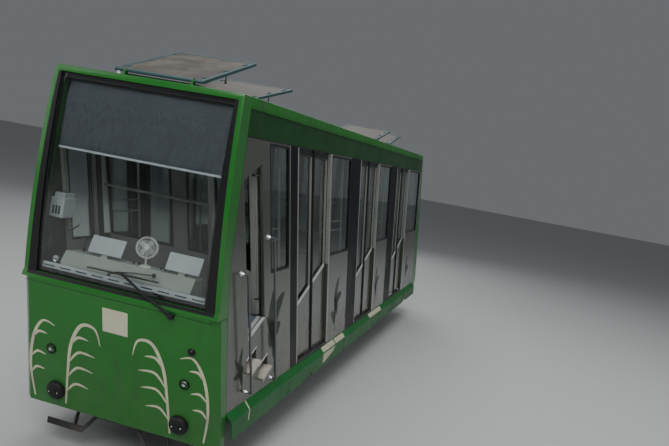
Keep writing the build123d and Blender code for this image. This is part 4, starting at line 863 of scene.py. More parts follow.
class OBJECT_OT_funicular_side_trim(bpy.types.Operator):
    """Seams, rivets, jambs, drip rails, a painted highlight on a skirt seam and painted sunlight patches
    along the sides
    """

    bl_idname = "object.funicular_side_trim"
    bl_label = "Side trim"

    def execute(self, context):
        rivet = context.scene.funicular_sizes.rivet
        corner = level(0, LEAF_SILL, DOOR_WIDTH)
        jambs = (
            ("covers", "leaf_grey", "frame", corner, TRIM_TOP),
            ("feet", "panel_grey", "panel", 0.735, corner - 0.001),
        )
        for name, side in SIDES:
            out = wall_out(side)
            with piece(f"band_rivets_{name}", "rail_steel", "band") as bm:
                heights = (BAND_LOW + 0.022, BAND_TOP - 0.02)
                places = [wall(side, 1.02 + k * RIVET_PITCH, z) for k in range(35) for z in heights]
                places += [wall_x(side, FOOT_X + 0.027, z) for z in (3.004, 3.054)]
                bolts(bm, out, places, rivet, 0.0022, 10)
            with piece(f"panel_seams_{name}", "rubber", "trim_black") as bm:
                for s in (1.830, *(start - PILLAR_WIDTH for start in DOOR_STARTS[1:])):
                    plate(bm, side, oblong(s - 0.003, s + 0.003, 0.692, BAND_LOW), -0.002, SEAM_T)
            with piece(f"mullion_covers_{name}", "leaf_grey", "frame", bevel=0.001) as bm:
                spans = []
                for start in DOOR_STARTS:
                    end = start + DOOR_WIDTH
                    spans += [(end + 0.001, end + MULLION - 0.007), (start - 0.036, start - 0.004)]
                for s0, s1 in (*spans, (1.810, 1.819)):
                    plate(bm, side, oblong(s0, s1, TRIM_LOW, TRIM_TOP), -0.001, 0.0022)
            for kind, slot, look, low, high in jambs:
                with piece(f"jamb_{kind}_{name}", slot, look) as bm:
                    for start in DOOR_STARTS:
                        section = oblong(-0.034, 0.0, low, high)
                        ring = [wall(side, start + DOOR_WIDTH, z, depth) for depth, z in section]
                        prism(bm, ring, (0.0015, 0, 0))
            with piece(f"band_seal_{name}", "rubber", "trim_black") as bm:
                x0, x1 = lean_x(WALL_END - 0.002, BAND_LOW), FOOT_X + 0.108
                section = oblong(x0, x1, BAND_LOW - 0.004, BAND_LOW + 0.005)
                prism(bm, [wall_x(side, x, z, -0.003) for x, z in section], out * 0.005)
            with piece(f"drip_rail_{name}", "body_green", "roof") as bm:
                y = HALF_AT_RAIL - BAND_TOP * TUMBLE_SLOPE
                profile = (
                    (-0.001, -0.006), (0.012, -0.002), (0.014, 0.012), (0.010, 0.012), (0.008, 0.004),
                    (-0.002, 0.004),
                )
                x0, x1 = lean_x(WALL_END - 0.01, BAND_TOP), FOOT_X + 0.10
                prism(bm, [(x0, side * (y + a), BAND_TOP + b) for a, b in profile], (x1 - x0, 0, 0))
            # Painted sunlight: cream patches where sun falls on the ledge tops and on the skirt face below,
            # not parts of the car
            with piece(f"ledge_blocks_{name}", "step_cream", "cream", bevel=0.003) as bm:
                for x0, x1 in ((-3.56, -3.03), (-4.05, -3.61), (-6.50, -5.62)):
                    ring = [ledge(side, FOOT_X + x, z, 0.005) for x, z in oblong(x0, x1, 0.634, 0.682)]
                    prism(bm, ring, ledge(side, 0, 0, -0.001) - ledge(side, 0, 0, 0.006))
                section = ((-3.46, 0.56), (-3.03, 0.50), (-3.03, 0.62), (-3.56, 0.62))
                prism(bm, [skirt(side, FOOT_X + x, z, 0.002) for x, z in section], (0, -side * 0.003, 0))
            # A real joint in the ledge and skirt, drawn as a bright cream strip whose brightness is a painted
            # highlight
            with piece(f"skirt_seam_{name}", "step_cream", "cream") as bm:
                x0, x1 = FOOT_X - 0.634, FOOT_X - 0.614
                for face, low, high in ((ledge, 0.627, 0.688), (skirt, 0.53, 0.624)):
                    ring = [face(side, x, z, 0.0016) for x, z in oblong(x0, x1, low, high)]
                    prism(bm, ring, face(side, 0, 0, 0) - face(side, 0, 0, SEAM_T))
            with piece(f"skirt_joints_{name}", "skirt_green", "trim_black") as bm:
                for k in range(4):
                    x = FOOT_X - 1.75 - k * 2.3
                    ring = [skirt(side, x + dx, z, 0.0012) for dx, z in oblong(0, 0.004, 0.452, 0.622)]
                    prism(bm, ring, (0, -side * 0.003, 0))
                    heads = [skirt(side, x + dx, z) for dx in (-0.04, 0.044) for z in (0.49, 0.585)]
                    bolts(bm, (0, side, 0), heads, 0.008, 0.005)
        return {"FINISHED"}


GRASS_STEMS = (
    (((0.50, 0.42), (0.47, 0.74), (0.43, 1.00), (0.33, 1.19), (0.20, 1.19), (0.15, 1.05)), 1.0),
    (((0.81, 0.42), (0.84, 0.70), (0.80, 0.98), (0.70, 1.15), (0.58, 1.13)), 0.9),
)
GRASS_BLADES = (
    ((0.490, 0.54), (0.27, 0.62)), ((0.478, 0.68), (0.22, 0.78)), ((0.460, 0.82), (0.20, 0.93)),
    ((0.425, 1.00), (0.26, 1.07)), ((0.835, 0.64), (0.70, 0.70)), ((0.825, 0.80), (0.68, 0.84)),
    ((0.795, 0.98), (0.66, 1.04)),
)
# Station, height of the foot, height, leaf width, and the leaves' tips from the foot
PLANTS = (
    (1.33, 0.78, 0.95, 0.13, ((-0.17, 0.62), (0.02, 0.86), (0.20, 0.50), (0.33, 0.80), (-0.10, 0.28))),
    (3.60, 0.76, 0.78, 0.12, ((-0.16, 0.30), (-0.02, 0.52), (0.16, 0.74), (0.30, 0.50), (0.10, 0.24))),
    (6.10, 0.80, 0.62, 0.10, ((-0.12, 0.34), (0.04, 0.60), (0.20, 0.44))),
    (8.95, 0.80, 0.55, 0.10, ((-0.10, 0.40), (0.06, 0.56), (0.22, 0.32))),
    (0.50, 0.80, 0.42, 0.06, ((-0.12, 0.34), (0.06, 0.42), (-0.16, 0.16), (0.07, 0.22))),
)


class OBJECT_OT_funicular_decoration(bpy.types.Operator):
    """Cream grasses on both ends, dark plants on the sides and the blank square"""

    bl_idname = "object.funicular_decoration"
    bl_label = "Decoration"

    def execute(self, context):
        width = context.scene.funicular_sizes.line
        for name, face, lift in (("uphill", apron, 0.02), ("downhill", rear, 0.38)):
            with piece(f"cream_grasses_{name}", "step_cream", "cream") as bm:
                for mirror in (-1, 1):
                    for controls, share in GRASS_STEMS:
                        widths = (width * 0.5 * share, width * share, width * 0.15)
                        ribbon(bm, face, [(mirror * y, z + lift) for y, z in controls], widths)
                    for ends in GRASS_BLADES:
                        foot, tip = ((mirror * y, z + lift) for y, z in ends)
                        leaf_shape(bm, face, foot, tip, width * 0.75, -0.25 * mirror)
        with piece("blank_square", "step_cream", "cream") as bm:
            square = [apron(y, z, 0.0002) for y, z in oblong(-0.124, 0.106, 1.218, 1.424)]
            prism(bm, rounded(square, 0.004, 2), APRON_OUT * 0.0008)
        for name, side in SIDES:
            place = partial(wall, side)
            with piece(f"plant_film_{name}", "band_green", "plant") as bm:
                for s, z, height, wide, tips in PLANTS:
                    stem = [(s, z), (s + 0.03, z + height * 0.3), (s + 0.01, z + height * 0.62)]
                    ribbon(bm, place, stem, (0.022, 0.016, 0.008))
                    for k, (run, rise) in enumerate(tips):
                        foot = Vector(stem[0]).lerp(Vector(stem[2]), min(0.25 + 0.17 * k, 0.95))
                        leaf_shape(bm, place, foot, (s + run, z + rise), wide, math.copysign(0.12, run))
        return {"FINISHED"}


class OBJECT_OT_funicular_end_fittings(bpy.types.Operator):
    """Windscreen surround and rubbers, vent strip, buffers' domes, lamps and rear window rubber"""

    bl_idname = "object.funicular_end_fittings"
    bl_label = "End fittings"

    def execute(self, context):
        rivet = context.scene.funicular_sizes.rivet
        with piece("windscreen_border", "rubber", "trim_black") as bm:
            behind = SCREEN_T + 0.0015
            for *edges, steps in (
                (-0.748, -0.733, 1.632, 3.215, 14), (0.735, 0.748, 1.632, 3.215, 14),
                (-0.748, 0.748, 1.596, 1.6315, 2), (-0.732, 0.734, 3.185, 3.215, 2),
            ):
                screen_strip(bm, *edges, behind, 0.002, steps)
        with piece("windscreen_surround", "rubber", "trim_black") as bm:
            steps, lift = 20, 0.0003
            for mirror in (-1, 1):
                face, lining = [], []
                for k in range(steps + 1):
                    z, near = (a + (b - a) * k / steps for a, b in (SCREEN_Z, SCREEN_HALF))
                    far = HALF_AT_RAIL - z * TUMBLE_SLOPE - FLANGE
                    for rows, inner, outer, deep in (
                        (face, near, far, -0.001), (lining, near - 0.0015, near, -0.022),
                    ):
                        section = oblong(inner, outer, deep, lift)
                        rows.append(points(bm, [(frame_x(z) + x, mirror * y, z) for y, x in section]))
                shell(bm, face)
                shell(bm, lining)
            wide = HALF_AT_RAIL - SCREEN_Z[0] * TUMBLE_SLOPE - FLANGE
            ring = [(frame_x(z) - 0.001, y, z) for y, z in oblong(-wide, wide, 1.562, 1.5888)]
            prism(bm, ring, (0.0018, 0, 0.0002))
        with piece("windscreen_rubber", "rubber", "rubber") as bm:
            for *edges, steps in (
                (-0.768, -0.752, 1.590, 3.228, 14), (0.752, 0.768, 1.590, 3.228, 14),
                (-0.752, 0.752, 1.590, 1.602, 2), (-0.752, 0.752, 3.216, 3.228, 2),
            ):
                screen_strip(bm, *edges, -0.004, 0.016, steps)
        with piece("vent_strip", "interior_grey", "device", bevel=0.001) as bm:
            section = oblong(-0.745, 0.745, (1.634, 0), (1.676, 0.010))
            ring = [(glass_x(z, SCREEN_T + 0.012 + back), y, z) for y, (z, back) in section]
            prism(bm, ring, (-0.022, 0, 0.002))
        with piece("vent_slots", "rubber", "trim_black") as bm:
            for k in range(10):
                middle = -0.677 + k * 0.150
                section = oblong(middle - 0.052, middle + 0.052, (1.648, 0.003), (1.658, 0.0055))
                ring = [(glass_x(z, SCREEN_T + 0.0112 + back), y, z) for y, (z, back) in section]
                prism(bm, ring, (-0.003, 0, 0))
        bolt = [(0.0065, 0), (0.0065, 0.0055), (0.0045, 0.0075), (0, 0.008)]
        rubber = [(0.084, 0), (0.084, 0.022), (0.081, 0.034), (0.070, 0.046), (0.052, 0.053), (0, 0.054)]
        bezel = [(0.046, -0.001), (0.046, 0.008), (0.042, 0.012), (0.0355, 0.011), (0.0350, 0.006)]
        bulb = [(0.014, 0), (0.012, 0.004), (0.006, 0.007), (0, 0.008)]
        bolt_y = [side * BUFFER_Y + dy for side in (-1, 1) for dy in (-0.040, 0.040)]
        buffer_y, lamp_y = (-BUFFER_Y, BUFFER_Y), (-LAMP_Y, LAMP_Y)
        for name, upper, lower in (
            ("uphill", (apron, APRON_OUT), (apron, APRON_OUT)),
            ("downhill", (rear, REAR_OUT), (rear_low, REAR_LOW_OUT)),
        ):
            for kind, slot, look, (face, out), spots, z, lift, profile, sides in (
                ("buffer_bolts", "rail_steel", "chrome", lower, bolt_y, BUFFER_Z, 0.0525, bolt, 12),
                ("buffer_bases", "rubber", "rubber", lower, buffer_y, BUFFER_Z, -0.001, rubber, 40),
                ("lamp_bezels", "rubber", "trim_black", upper, lamp_y, LAMP_Z, 0, bezel, 40),
                ("lamp_bulbs", "rail_steel", "chrome", upper, lamp_y, LAMP_Z, 0.0170, bulb, 20),
            ):
                with piece(f"{kind}_{name}", slot, look) as bm:
                    for y in spots:
                        lathe(bm, face(y, z, lift), out, profile, sides, loop=profile is bezel)
        with piece("apron_dome", "rubber", "trim_black") as bm:
            profile = [
                (0.034, -0.001), (0.034, 0.005), (0.030, 0.008), (0.028, 0.014), (0.022, 0.023),
                (0.012, 0.029), (0, 0.031),
            ]
            lathe(bm, apron(0.677, 1.233), APRON_OUT, profile, 32)
        with piece("apron_rivets", "body_green", "green") as bm:
            spots = (
                (0.234, 1.437), (0.651, 1.341), (0.724, 1.341), (0.647, 1.134), (0.724, 1.134),
                (-0.651, 1.341), (-0.234, 1.437),
            )
            bolts(bm, APRON_OUT, [apron(y, z) for y, z in spots], rivet, 0.003)
        with piece("apron_seam", "rubber", "trim_black") as bm:
            ring = oblong(-0.845, 0.845, LEDGE_Z - 0.030, LEDGE_Z - 0.026)
            prism(bm, [apron(y, z, -0.001) for y, z in ring], APRON_OUT * 0.0018)
        with piece("rear_window_rubber", "rubber", "rubber") as bm:
            low, high = rear_window(-0.735, 1.800, -0.014), rear_window(-0.705, 3.080, -0.014)
            rings = []
            for by in (0.004, -0.022):
                y0, z0, y1, z1 = low.y + by, low.z - by, high.y + by, high.z + by
                rings.append([(low.x, y0, z0), (low.x, -y0, z0), (high.x, -y1, z1), (high.x, y1, z1)])
            collar(bm, *rings, REAR_WINDOW_OUT * 0.012)
        return {"FINISHED"}


FAN_AT = at_foot(0.085, 0.129, 1.958)
FAN_FACING = Vector((0.9, 0.35, 0.12)).normalized()
FAN_U = FAN_FACING.orthogonal().normalized()
FAN_V = FAN_FACING.cross(FAN_U)


class OBJECT_OT_funicular_cab(bpy.types.Operator):
    """Blind, console fittings, fan, microphone, wall box, lamp and partition glass in the cab"""

    bl_idname = "object.funicular_cab"
    bl_label = "Cab fittings"

    def execute(self, context):
        hem_z = context.scene.funicular_sizes.blind_drop
        y0, y1 = BLIND_Y
        with piece("blind_roller", "rail_steel", "rail") as bm:
            x = glass_x(BLIND_TOP, 0.075)
            tube(bm, [(x, y0 - 0.02, BLIND_TOP), (x, y1 + 0.02, BLIND_TOP)], 0.021, 20)
            for y in (y0 - 0.032, y1 + 0.026):
                box(bm, (x, y, BLIND_TOP + 0.01), (0.05, 0.006, 0.07))
        with piece("blind_hem_bar", "interior_grey", "device", bevel=0.001) as bm:
            screen_strip(bm, y0, y1, hem_z - 0.018, hem_z, 0.022, 0.012, 2)
        with piece("sun_blind", "rubber", "blind") as bm:
            across, down = 60, 26
            rows = []
            for i in range(down + 1):
                t = i / down
                z = BLIND_TOP + (hem_z - 0.008 - BLIND_TOP) * t
                x = glass_x(z, 0.0535 - 0.025 * min(t * 4, 1))
                row = []
                for j in range(across + 1):
                    y = y0 + (y1 - y0) * j / across
                    wave = 0.0028 * math.sin(y * 23 + t * 2.0) * math.sin(math.pi * t)
                    row.append((x + wave + 0.0018 * math.sin(y * 61 + t * 9), y, z))
                rows.append(points(bm, row))
            for a, b in zip(rows, rows[1:]):
                for j in range(across):
                    bm.faces.new((a[j], a[j + 1], b[j + 1], b[j]))
        cloth = context.scene.objects["sun_blind"]
        cloth.modifiers.new("Cloth", "SOLIDIFY").thickness = 0.0012

        with piece("console_screens", "interior_grey", "device", bevel=0.003) as bm:
            for a, b in ((-0.415, -0.105), (0.296, 0.597)):
                section = oblong(a, b, (0.048, 1.812), (-0.012, 1.948))
                prism(bm, [at_foot(x, y, z) for y, (x, z) in section], (0.012, 0, 0.006))
        with piece("console_screen_feet", "interior_grey", "cabin", bevel=0.002) as bm:
            for y in (-0.26, 0.446):
                section = ((-0.02, CONSOLE_Z), (0.06, CONSOLE_Z), (0.04, 1.83), (0.005, 1.90))
                prism(bm, [at_foot(x, y - 0.03, z) for x, z in section], (0, 0.06, 0))
        with piece("console_edge", "interior_grey", "cabin") as bm:
            bolts(bm, (1, 0, 0), [at_foot(0.15, y, 1.65) for y in (-0.5, 0.5)], 0.006, 0.003)
            section = ((0.09, 1.788), (0.152, 1.688), (0.152, 1.694), (0.093, 1.795))
            prism(bm, [at_foot(x, -0.592, z) for x, z in section], (0, 1.184, 0))
        with piece("desk_fan", "interior_grey", "white") as bm:
            for depth, r, thick in (
                (-0.022, 0.078, 0.0022), (0.0, 0.087, 0.0030), (0.020, 0.078, 0.0022),
                (0.027, 0.056, 0.0016), (0.030, 0.034, 0.0016),
            ):
                ring = [(r + thick * math.cos(b), thick * math.sin(b)) for b in turns(6)]
                lathe(bm, FAN_AT + FAN_FACING * depth, FAN_FACING, ring, 36, loop=True)
            for a in turns(24):
                ray = FAN_U * math.cos(a) + FAN_V * math.sin(a)
                path = ((0.030, 0.02), (0.026, 0.056), (0, 0.087), (-0.026, 0.06))
                tube(bm, [FAN_AT + FAN_FACING * depth + ray * r for depth, r in path], 0.0011, 5)
            motor = [(0.030, 0), (0.032, 0.03), (0.018, 0.04), (0.016, 0.07), (0.019, 0.077), (0, 0.079)]
            lathe(bm, FAN_AT - FAN_FACING * 0.045, FAN_FACING, motor, 20)
            neck = FAN_AT - FAN_FACING * 0.035 + Vector((0, 0, -0.11))
            tube(bm, [FAN_AT - FAN_FACING * 0.03, neck, at_foot(0.03, 0.11, 1.80)], 0.008)
            base = [(0.045, 0), (0.045, 0.008), (0.02, 0.018), (0, 0.019)]
            lathe(bm, at_foot(0.03, 0.11, CONSOLE_Z), (0, 0, 1), base)
        with piece("fan_blades", "interior_grey", "device") as bm:
            outline = (
                (0.014, 0, -0.006), (0.050, -0.012, -0.010), (0.070, 0.010, -0.002), (0.058, 0.036, 0.008),
                (0.018, 0.018, 0.006),
            )
            for a in turns(4):
                ray = FAN_U * math.cos(a) + FAN_V * math.sin(a)
                turn = FAN_V * math.cos(a) - FAN_U * math.sin(a)
                ring = [FAN_AT + ray * r + turn * t + FAN_FACING * f for r, t, f in outline]
                prism(bm, ring, FAN_FACING * 0.0015)
        with piece("microphone", "rubber", "trim_black") as bm:
            path = [
                at_foot(0.147, -0.134, 1.688), at_foot(0.150, -0.07, 1.722),
                at_foot(0.150, 0.08, 1.745), at_foot(0.148, 0.240, 1.758),
            ]
            tube(bm, path, 0.0045)
            head = [(0.006, 0), (0.014, 0.006), (0.017, 0.018), (0.014, 0.030), (0, 0.036)]
            lathe(bm, path[-1], (-0.02, 1, 0.2), head, 20)
            socket = [(0.016, -0.012), (0.016, 0.004), (0.008, 0.012), (0, 0.013)]
            lathe(bm, path[0], (0.2, 0.3, 1), socket, 20)
        with piece("wall_box", "interior_grey", "device", bevel=0.008) as bm:
            box(bm, at_foot(-0.03, -0.768, 2.12), (0.17, 0.13, 0.17))
            box(bm, at_foot(-0.03, -0.765, 2.222), (0.14, 0.10, 0.045))
        with piece("wall_box_keys", "rubber", "trim_black", bevel=0.001) as bm:
            for k in range(3):
                box(bm, at_foot(0.056, -0.795 + k * 0.028, 2.10), (0.006, 0.016, 0.07))
            box(bm, at_foot(-0.03, -0.765, 2.246), (0.08, 0.05, 0.004))
        with piece("small_lamp", "rail_steel", "chrome") as bm:
            post = [(0.022, 0), (0.022, 0.004), (0.006, 0.010), (0.006, 0.140), (0, 0.141)]
            lathe(bm, at_foot(0.12, -0.655, 1.568), (0, 0, 1), post, 20)
            head = [(0.012, -0.02), (0.024, -0.004), (0.027, 0.010), (0.024, 0.012), (0, 0.006)]
            lathe(bm, at_foot(0.122, -0.655, 1.712), (0.9, 0.3, 0.1), head)
        with piece("console_knobs", "rubber", "trim_black") as bm:
            for k, y in enumerate((-0.02, 0.03, 0.23, 0.27)):
                tall = 0.006 * (k % 2)
                profile = [(0.011, 0), (0.010, 0.012 + tall), (0.006, 0.018 + tall), (0, 0.019 + tall)]
                lathe(bm, at_foot(-0.01, y, CONSOLE_Z), (-0.1, 0, 1), profile, 16)
            lever = ((-0.02, 1.787), (-0.02, 1.86), (-0.05, 1.90))
            tube(bm, [at_foot(x, -0.50, z) for x, z in lever], 0.009, 12)
        with piece("cab_rails", "rail_steel", "aluminium") as bm:
            near, far, rail_z = lean_x(1.229, 2.33), lean_x(1.185, 2.33), 2.33
            path = ((near, -0.731), (far, -0.731), (far, 0.731), (near, 0.731))
            tube(bm, [(x, y, rail_z) for x, y in path], 0.012, 14)
            foot = (lean_x(1.10, 1.40), 0.36, 1.40)
            tube(bm, [foot, (lean_x(1.10, 3.24), 0.36, 3.24)], 0.017, 14)
            flange = [(0.036, -0.002), (0.036, 0.006), (0.019, 0.014), (0, 0.015)]
            lathe(bm, foot, (-LEAN_SLOPE, 0, 1), flange, 20)
        with piece("partition_panes", "glass", "window") as bm:
            for y in PANE_Y:
                section = oblong(y - 0.318, y + 0.318, 1.872, 2.968)
                prism(bm, [(lean_x(1.2425, z), y, z) for y, z in section], (-0.006, 0, 0))
        with piece("partition_rubbers", "rubber", "trim_black") as bm:
            for y in PANE_Y:
                sections = (
                    oblong(y - 0.328, y + 0.328, 1.862, 2.978), oblong(y - 0.302, y + 0.302, 1.888, 2.952),
                )
                rings = [[(lean_x(1.2285, z), y, z) for y, z in section] for section in sections]
                collar(bm, *rings, (-0.003, 0, 0))
        return {"FINISHED"}


WIPER_AT = at_foot(0.216056, 0.5, 1.5)
WIPER_OUT = Vector((1, 0, -0.1145)).normalized()
WIPER_U = Vector((0, 1, 0))
WIPER_V = WIPER_OUT.cross(WIPER_U)
WIPER_TIP = (-0.478, 0.223)


def wiper_at(a, b, c):
    """Point across, up and out from the wiper's spindle."""
    return WIPER_AT + WIPER_U * a + WIPER_V * b + WIPER_OUT * c


class OBJECT_OT_funicular_wiper(bpy.types.Operator):
    """Cap, spring cover, blade holder and blade of the wiper"""

    bl_idname = "object.funicular_wiper"
    bl_label = "Wiper"

    def execute(self, context):
        with piece("wiper_cap", "wiper_black", "rubber", "wiper") as bm:
            profile = [(0.024, 0), (0.026, 0.008), (0.025, 0.028), (0.020, 0.036), (0.010, 0.040), (0, 0.041)]
            lathe(bm, wiper_at(0, 0, 0.006), WIPER_OUT, profile, 28)
        with piece("wiper_cover", "wiper_black", "wiper", "wiper", bevel=0.003) as bm:
            reach = Vector(WIPER_TIP).normalized()
            side = Vector((-reach.y, reach.x))
            for near, far in (
                ((0.0, 0.015, 0.033), (0.13, 0.011, 0.028)), ((0.13, 0.009, 0.026), (0.30, 0.006, 0.022)),
            ):
                ring = [
                    wiper_at(*(reach * along + side * wide * way), out)
                    for (along, wide, out), way in ((near, 1), (near, -1), (far, -1), (far, 1))
                ]
                prism(bm, ring, WIPER_OUT * -0.010)
        with piece("wiper_holder", "wiper_black", "wiper", "wiper") as bm:
            start, end = Vector((-0.800, 0.2185)), Vector((-0.166, 0.2265))
            path = []
            for t in (0, 0.15, 0.35, 0.5, 0.65, 0.85, 1):
                path.append(wiper_at(*start.lerp(end, t), -0.0245 + 0.009 * math.sin(math.pi * t)))
            tube(bm, path, 0.0035, 8)
            for t in (0.02, 0.25, 0.5, 0.75, 0.98):
                box(bm, wiper_at(*start.lerp(end, t), -0.0285), (0.010, 0.020, 0.0115))
            tube(bm, [wiper_at(*WIPER_TIP, -0.022), wiper_at(-0.483, 0.2227, -0.012)], 0.007, 12)
        with piece("wiper_lip", "rubber", "rubber", "wiper") as bm:
            section = ((-0.803, 0.2160), (-0.163, 0.2240), (-0.163, 0.2270), (-0.803, 0.2190))
            prism(bm, [wiper_at(a, b, -0.0328) for a, b in section], WIPER_OUT * -0.0042)
        return {"FINISHED"}


def cab_leaf_frame(side):
    """Foot of a cab leaf's hinge line, and its directions across, up and out of its outer face."""
    up = Vector((LEAN_SLOPE, -side * TUMBLE_SLOPE, 1)).normalized()
    out = wall_out(side)
    foot = wall(side, CAB_HINGE_S, CAB_SILL) - out * CAB_LEAF_DEPTH
    if side > 0:
        return foot, -out, up, out.cross(up)
    return foot, up.cross(out), up, out


class OBJECT_OT_funicular_cab_doors(bpy.types.Operator):
    """Glass, rubber, handles and kick plates of the cab doors, and the door frames' rubbers"""

    bl_idname = "object.funicular_cab_doors"
    bl_label = "Cab doors"

    def execute(self, context):
        rise = (WINDOW_LOW - CAB_SILL) / math.cos(LEAN)
        w0, w1, top = CAB_STILE, CAB_LEAF_WIDTH - CAB_STILE, CAB_LEAF_HEIGHT - CAB_STILE
        low0, low1 = rise + w0 * LEAN_SLOPE, rise + w1 * LEAN_SLOPE
        corners = [(w0, low0), (w1, low1), (w1, top), (w0, top)]
        in0, in1, in_top = w0 + 0.014, w1 - 0.014, top - 0.014
        inner = [(in0, low0 + 0.018), (in1, low1 + 0.010), (in1, in_top), (in0, in_top)]
        for name, side in SIDES:
            body = f"cab_door_{name}"
            foot, across, up, out = cab_leaf_frame(side)

            def at(a, h, d):
                return foot + across * a + up * h + out * d

            with piece(f"{body}_pane", "glass", "window", body) as bm:
                prism(bm, [at(a, h, 0.012) for a, h in corners], out * 0.005)
            with piece(f"{body}_rubber", "rubber", "trim_black", body) as bm:
                for d in (-0.0015, 0.0265):
                    collar(bm, *([at(a, h, d) for a, h in ring] for ring in (corners, inner)), out * 0.005)
            with piece(f"{body}_handle", "rail_steel", "chrome", body) as bm:
                boss = [(0.022, -0.001), (0.022, 0.005), (0.011, 0.008), (0.010, 0.030), (0, 0.031)]
                for a, h, d, way in ((0.338, 0.49, 0.030, 1), (0.391, 0.72, 0.0, -1)):
                    lathe(bm, at(a, h, d), out * way, boss, 20)
                    tube(bm, [at(a, h, d + way * 0.026), at(a - 0.090, h, d + way * 0.026)], 0.007)
            with piece(f"{body}_kick_plate", "threshold", "aluminium", body) as bm:
                ring = [at(a, h, 0.0295) for a, h in oblong(0.05, 0.365, 0.06, 0.22)]
                prism(bm, ring, out * 0.0015)

            low, high = level(CAB_END, CAB_SILL, CAB_START), level(CAB_END, CAB_HEAD, CAB_START)
            door = [(CAB_START, low), (CAB_END, CAB_SILL), (CAB_END, CAB_HEAD), (CAB_START, high)]
            with piece(f"cab_doorway_rubber_{name}", "rubber", "trim_black") as bm:
                rim(bm, side, door, 0, -0.009, -0.028, -0.006)
            with piece(f"cab_doorway_sill_{name}", "threshold", "bright") as bm:
                ends = (CAB_START + 0.001, low + 0.0005), (CAB_END - 0.001, CAB_SILL + 0.0005)
                ring = [wall(side, s, z, depth) for (s, z), depth in oblong(*ends, -0.075, 0.004)]
                prism(bm, ring, (0, 0, 0.004))
        return {"FINISHED"}


class OBJECT_OT_funicular_steps(bpy.types.Operator):
    """Tread plates and rims of the boarding steps, handrail flanges and door threshold ribs"""

    bl_idname = "object.funicular_steps"
    bl_label = "Steps and handrails"

    def execute(self, context):
        for name, side in SIDES:
            with piece(f"step_plates_{name}", "step_cream", "tread", bevel=0.0015) as bm:
                for s0, s1, z in STEP_OPENINGS:
                    low = z + 0.0132
                    ends = (s0 + 0.006, low), (s1 - 0.006, level(s0, low, s1))
                    ring = [wall(side, s, z, depth) for (s, z), depth in oblong(*ends, 0.048, -0.150)]
                    prism(bm, ring, (0, 0, 0.004))
                    plate(bm, side, sloped(*ends[0], *ends[1], 0.004, -0.020), 0.041, 0.007)
            with piece(f"step_rims_{name}", "rail_steel", "bright", bevel=0.001) as bm:
                for s0, s1, z in STEP_OPENINGS:
                    high = z + 0.130
                    ring = sloped(s0 - 0.004, high, s1 + 0.004, level(s0, high, s1), -0.004, 0.008)
                    plate(bm, side, ring, -0.001, 0.005)
            with piece(f"handrail_flanges_{name}", "rail_steel", "chrome") as bm:
                profile = [(0.024, -0.002), (0.024, 0.005), (0.019, 0.009), (0.0145, 0.030), (0.0115, 0.031)]
                for s, z in ((0.570, 0.785), (0.570, 1.880), (1.200, 0.757), (1.200, 2.152)):
                    lathe(bm, wall(side, s, z), (0, side, 0), profile, 20)
            with piece(f"threshold_ribs_{name}", "threshold", "rail") as bm:
                for start in DOOR_STARTS:
                    for depth in (-0.030, -0.018, -0.006, 0.004):
                        section = oblong(start + 0.006, start + DOOR_WIDTH - 0.006, depth, depth + 0.004)
                        prism(bm, [wall(side, s, 0.7146, out) for s, out in section], (0, 0, 0.003))
        return {"FINISHED"}


class OBJECT_OT_funicular_roof(bpy.types.Operator):
    """Smoked panels, clips, stays and seals of the roof hatches, and the roof's ribs and fitting"""

    bl_idname = "object.funicular_roof"
    bl_label = "Roof"

    def execute(self, context):
        for body, (hinge, angle) in zip(HATCH_NODES, HATCHES):
            turn = math.radians(angle)
            along = Vector((-math.cos(turn), 0, math.sin(turn)))
            normal = Vector((math.sin(turn), 0, math.cos(turn)))

            def at(a, y, h):
                return Vector((FOOT_X - hinge, y, HATCH_Z)) + along * a + normal * h

            # The hatch panels' lighter brownish patches are a painted reflection, not a tint of the acrylic
            with piece(f"{body}_panel", "glass", "acrylic", body) as bm:
                ring = [at(a, y, 0.0045) for y, a in oblong(-HATCH_HALF, HATCH_HALF, 0.042, 1.012)]
                prism(bm, rounded(ring, 0.02), normal * 0.006)
            with piece(f"{body}_clips", "hatch_blue", "hatch", body, bevel=0.001) as bm:
                for a in (0.12, 0.5, 0.9):
                    for y in (-HATCH_CLIP_Y, HATCH_CLIP_Y):
                        box(bm, at(a, y, 0.013), (0.05, 0.03, 0.006), Matrix.Rotation(turn, 3, "Y"))
                        bolts(bm, normal, [at(a, y, 0.016)], 0.007, 0.005)
            with piece(f"{body}_stays", "rail_steel", "rail", body) as bm:
                for y in (-0.30, 0.30):
                    tube(bm, [at(0.62, y, -0.008), at(0.60, y, -0.10)], 0.006)
                    lathe(bm, at(0.60, y, -0.10), -normal, [(0.010, 0), (0.010, 0.012), (0, 0.014)], 14)
        with piece("roof_ribs", "body_green", "roof", bevel=0.003) as bm:
            for k in range(9):
                box(bm, at_foot(-2.25 - k * 0.46, 0, ROOF_Z + 0.003), (0.03, 1.50, 0.010))
            for y in (-0.66, 0.66):
                box(bm, at_foot(-4.3, y, ROOF_Z + 0.003), (8.6, 0.022, 0.009))
        with piece("roof_fitting", "interior_grey", "white") as bm:
            profile = [(0.018, 0), (0.018, 0.004), (0.013, 0.008), (0.012, 0.022), (0.008, 0.028), (0, 0.030)]
            lathe(bm, at_foot(0.16, -0.32, ROOF_Z - 0.001), (0, 0, 1), profile, 28)
        with piece("hatch_seals", "rubber", "rubber") as bm:
            for hinge, _ in HATCHES:
                rings = []
                for margin, half in ((0.068, 0.322), (0.076, 0.312)):
                    x0, x1 = -hinge - margin, -hinge - HATCH_LENGTH + margin
                    section = oblong(x0, x1, -half, half)
                    rings.append([at_foot(x, y, ROOF_Z + 0.0215) for x, y in section])
                collar(bm, *rings, (0, 0, 0.005))
        return {"FINISHED"}


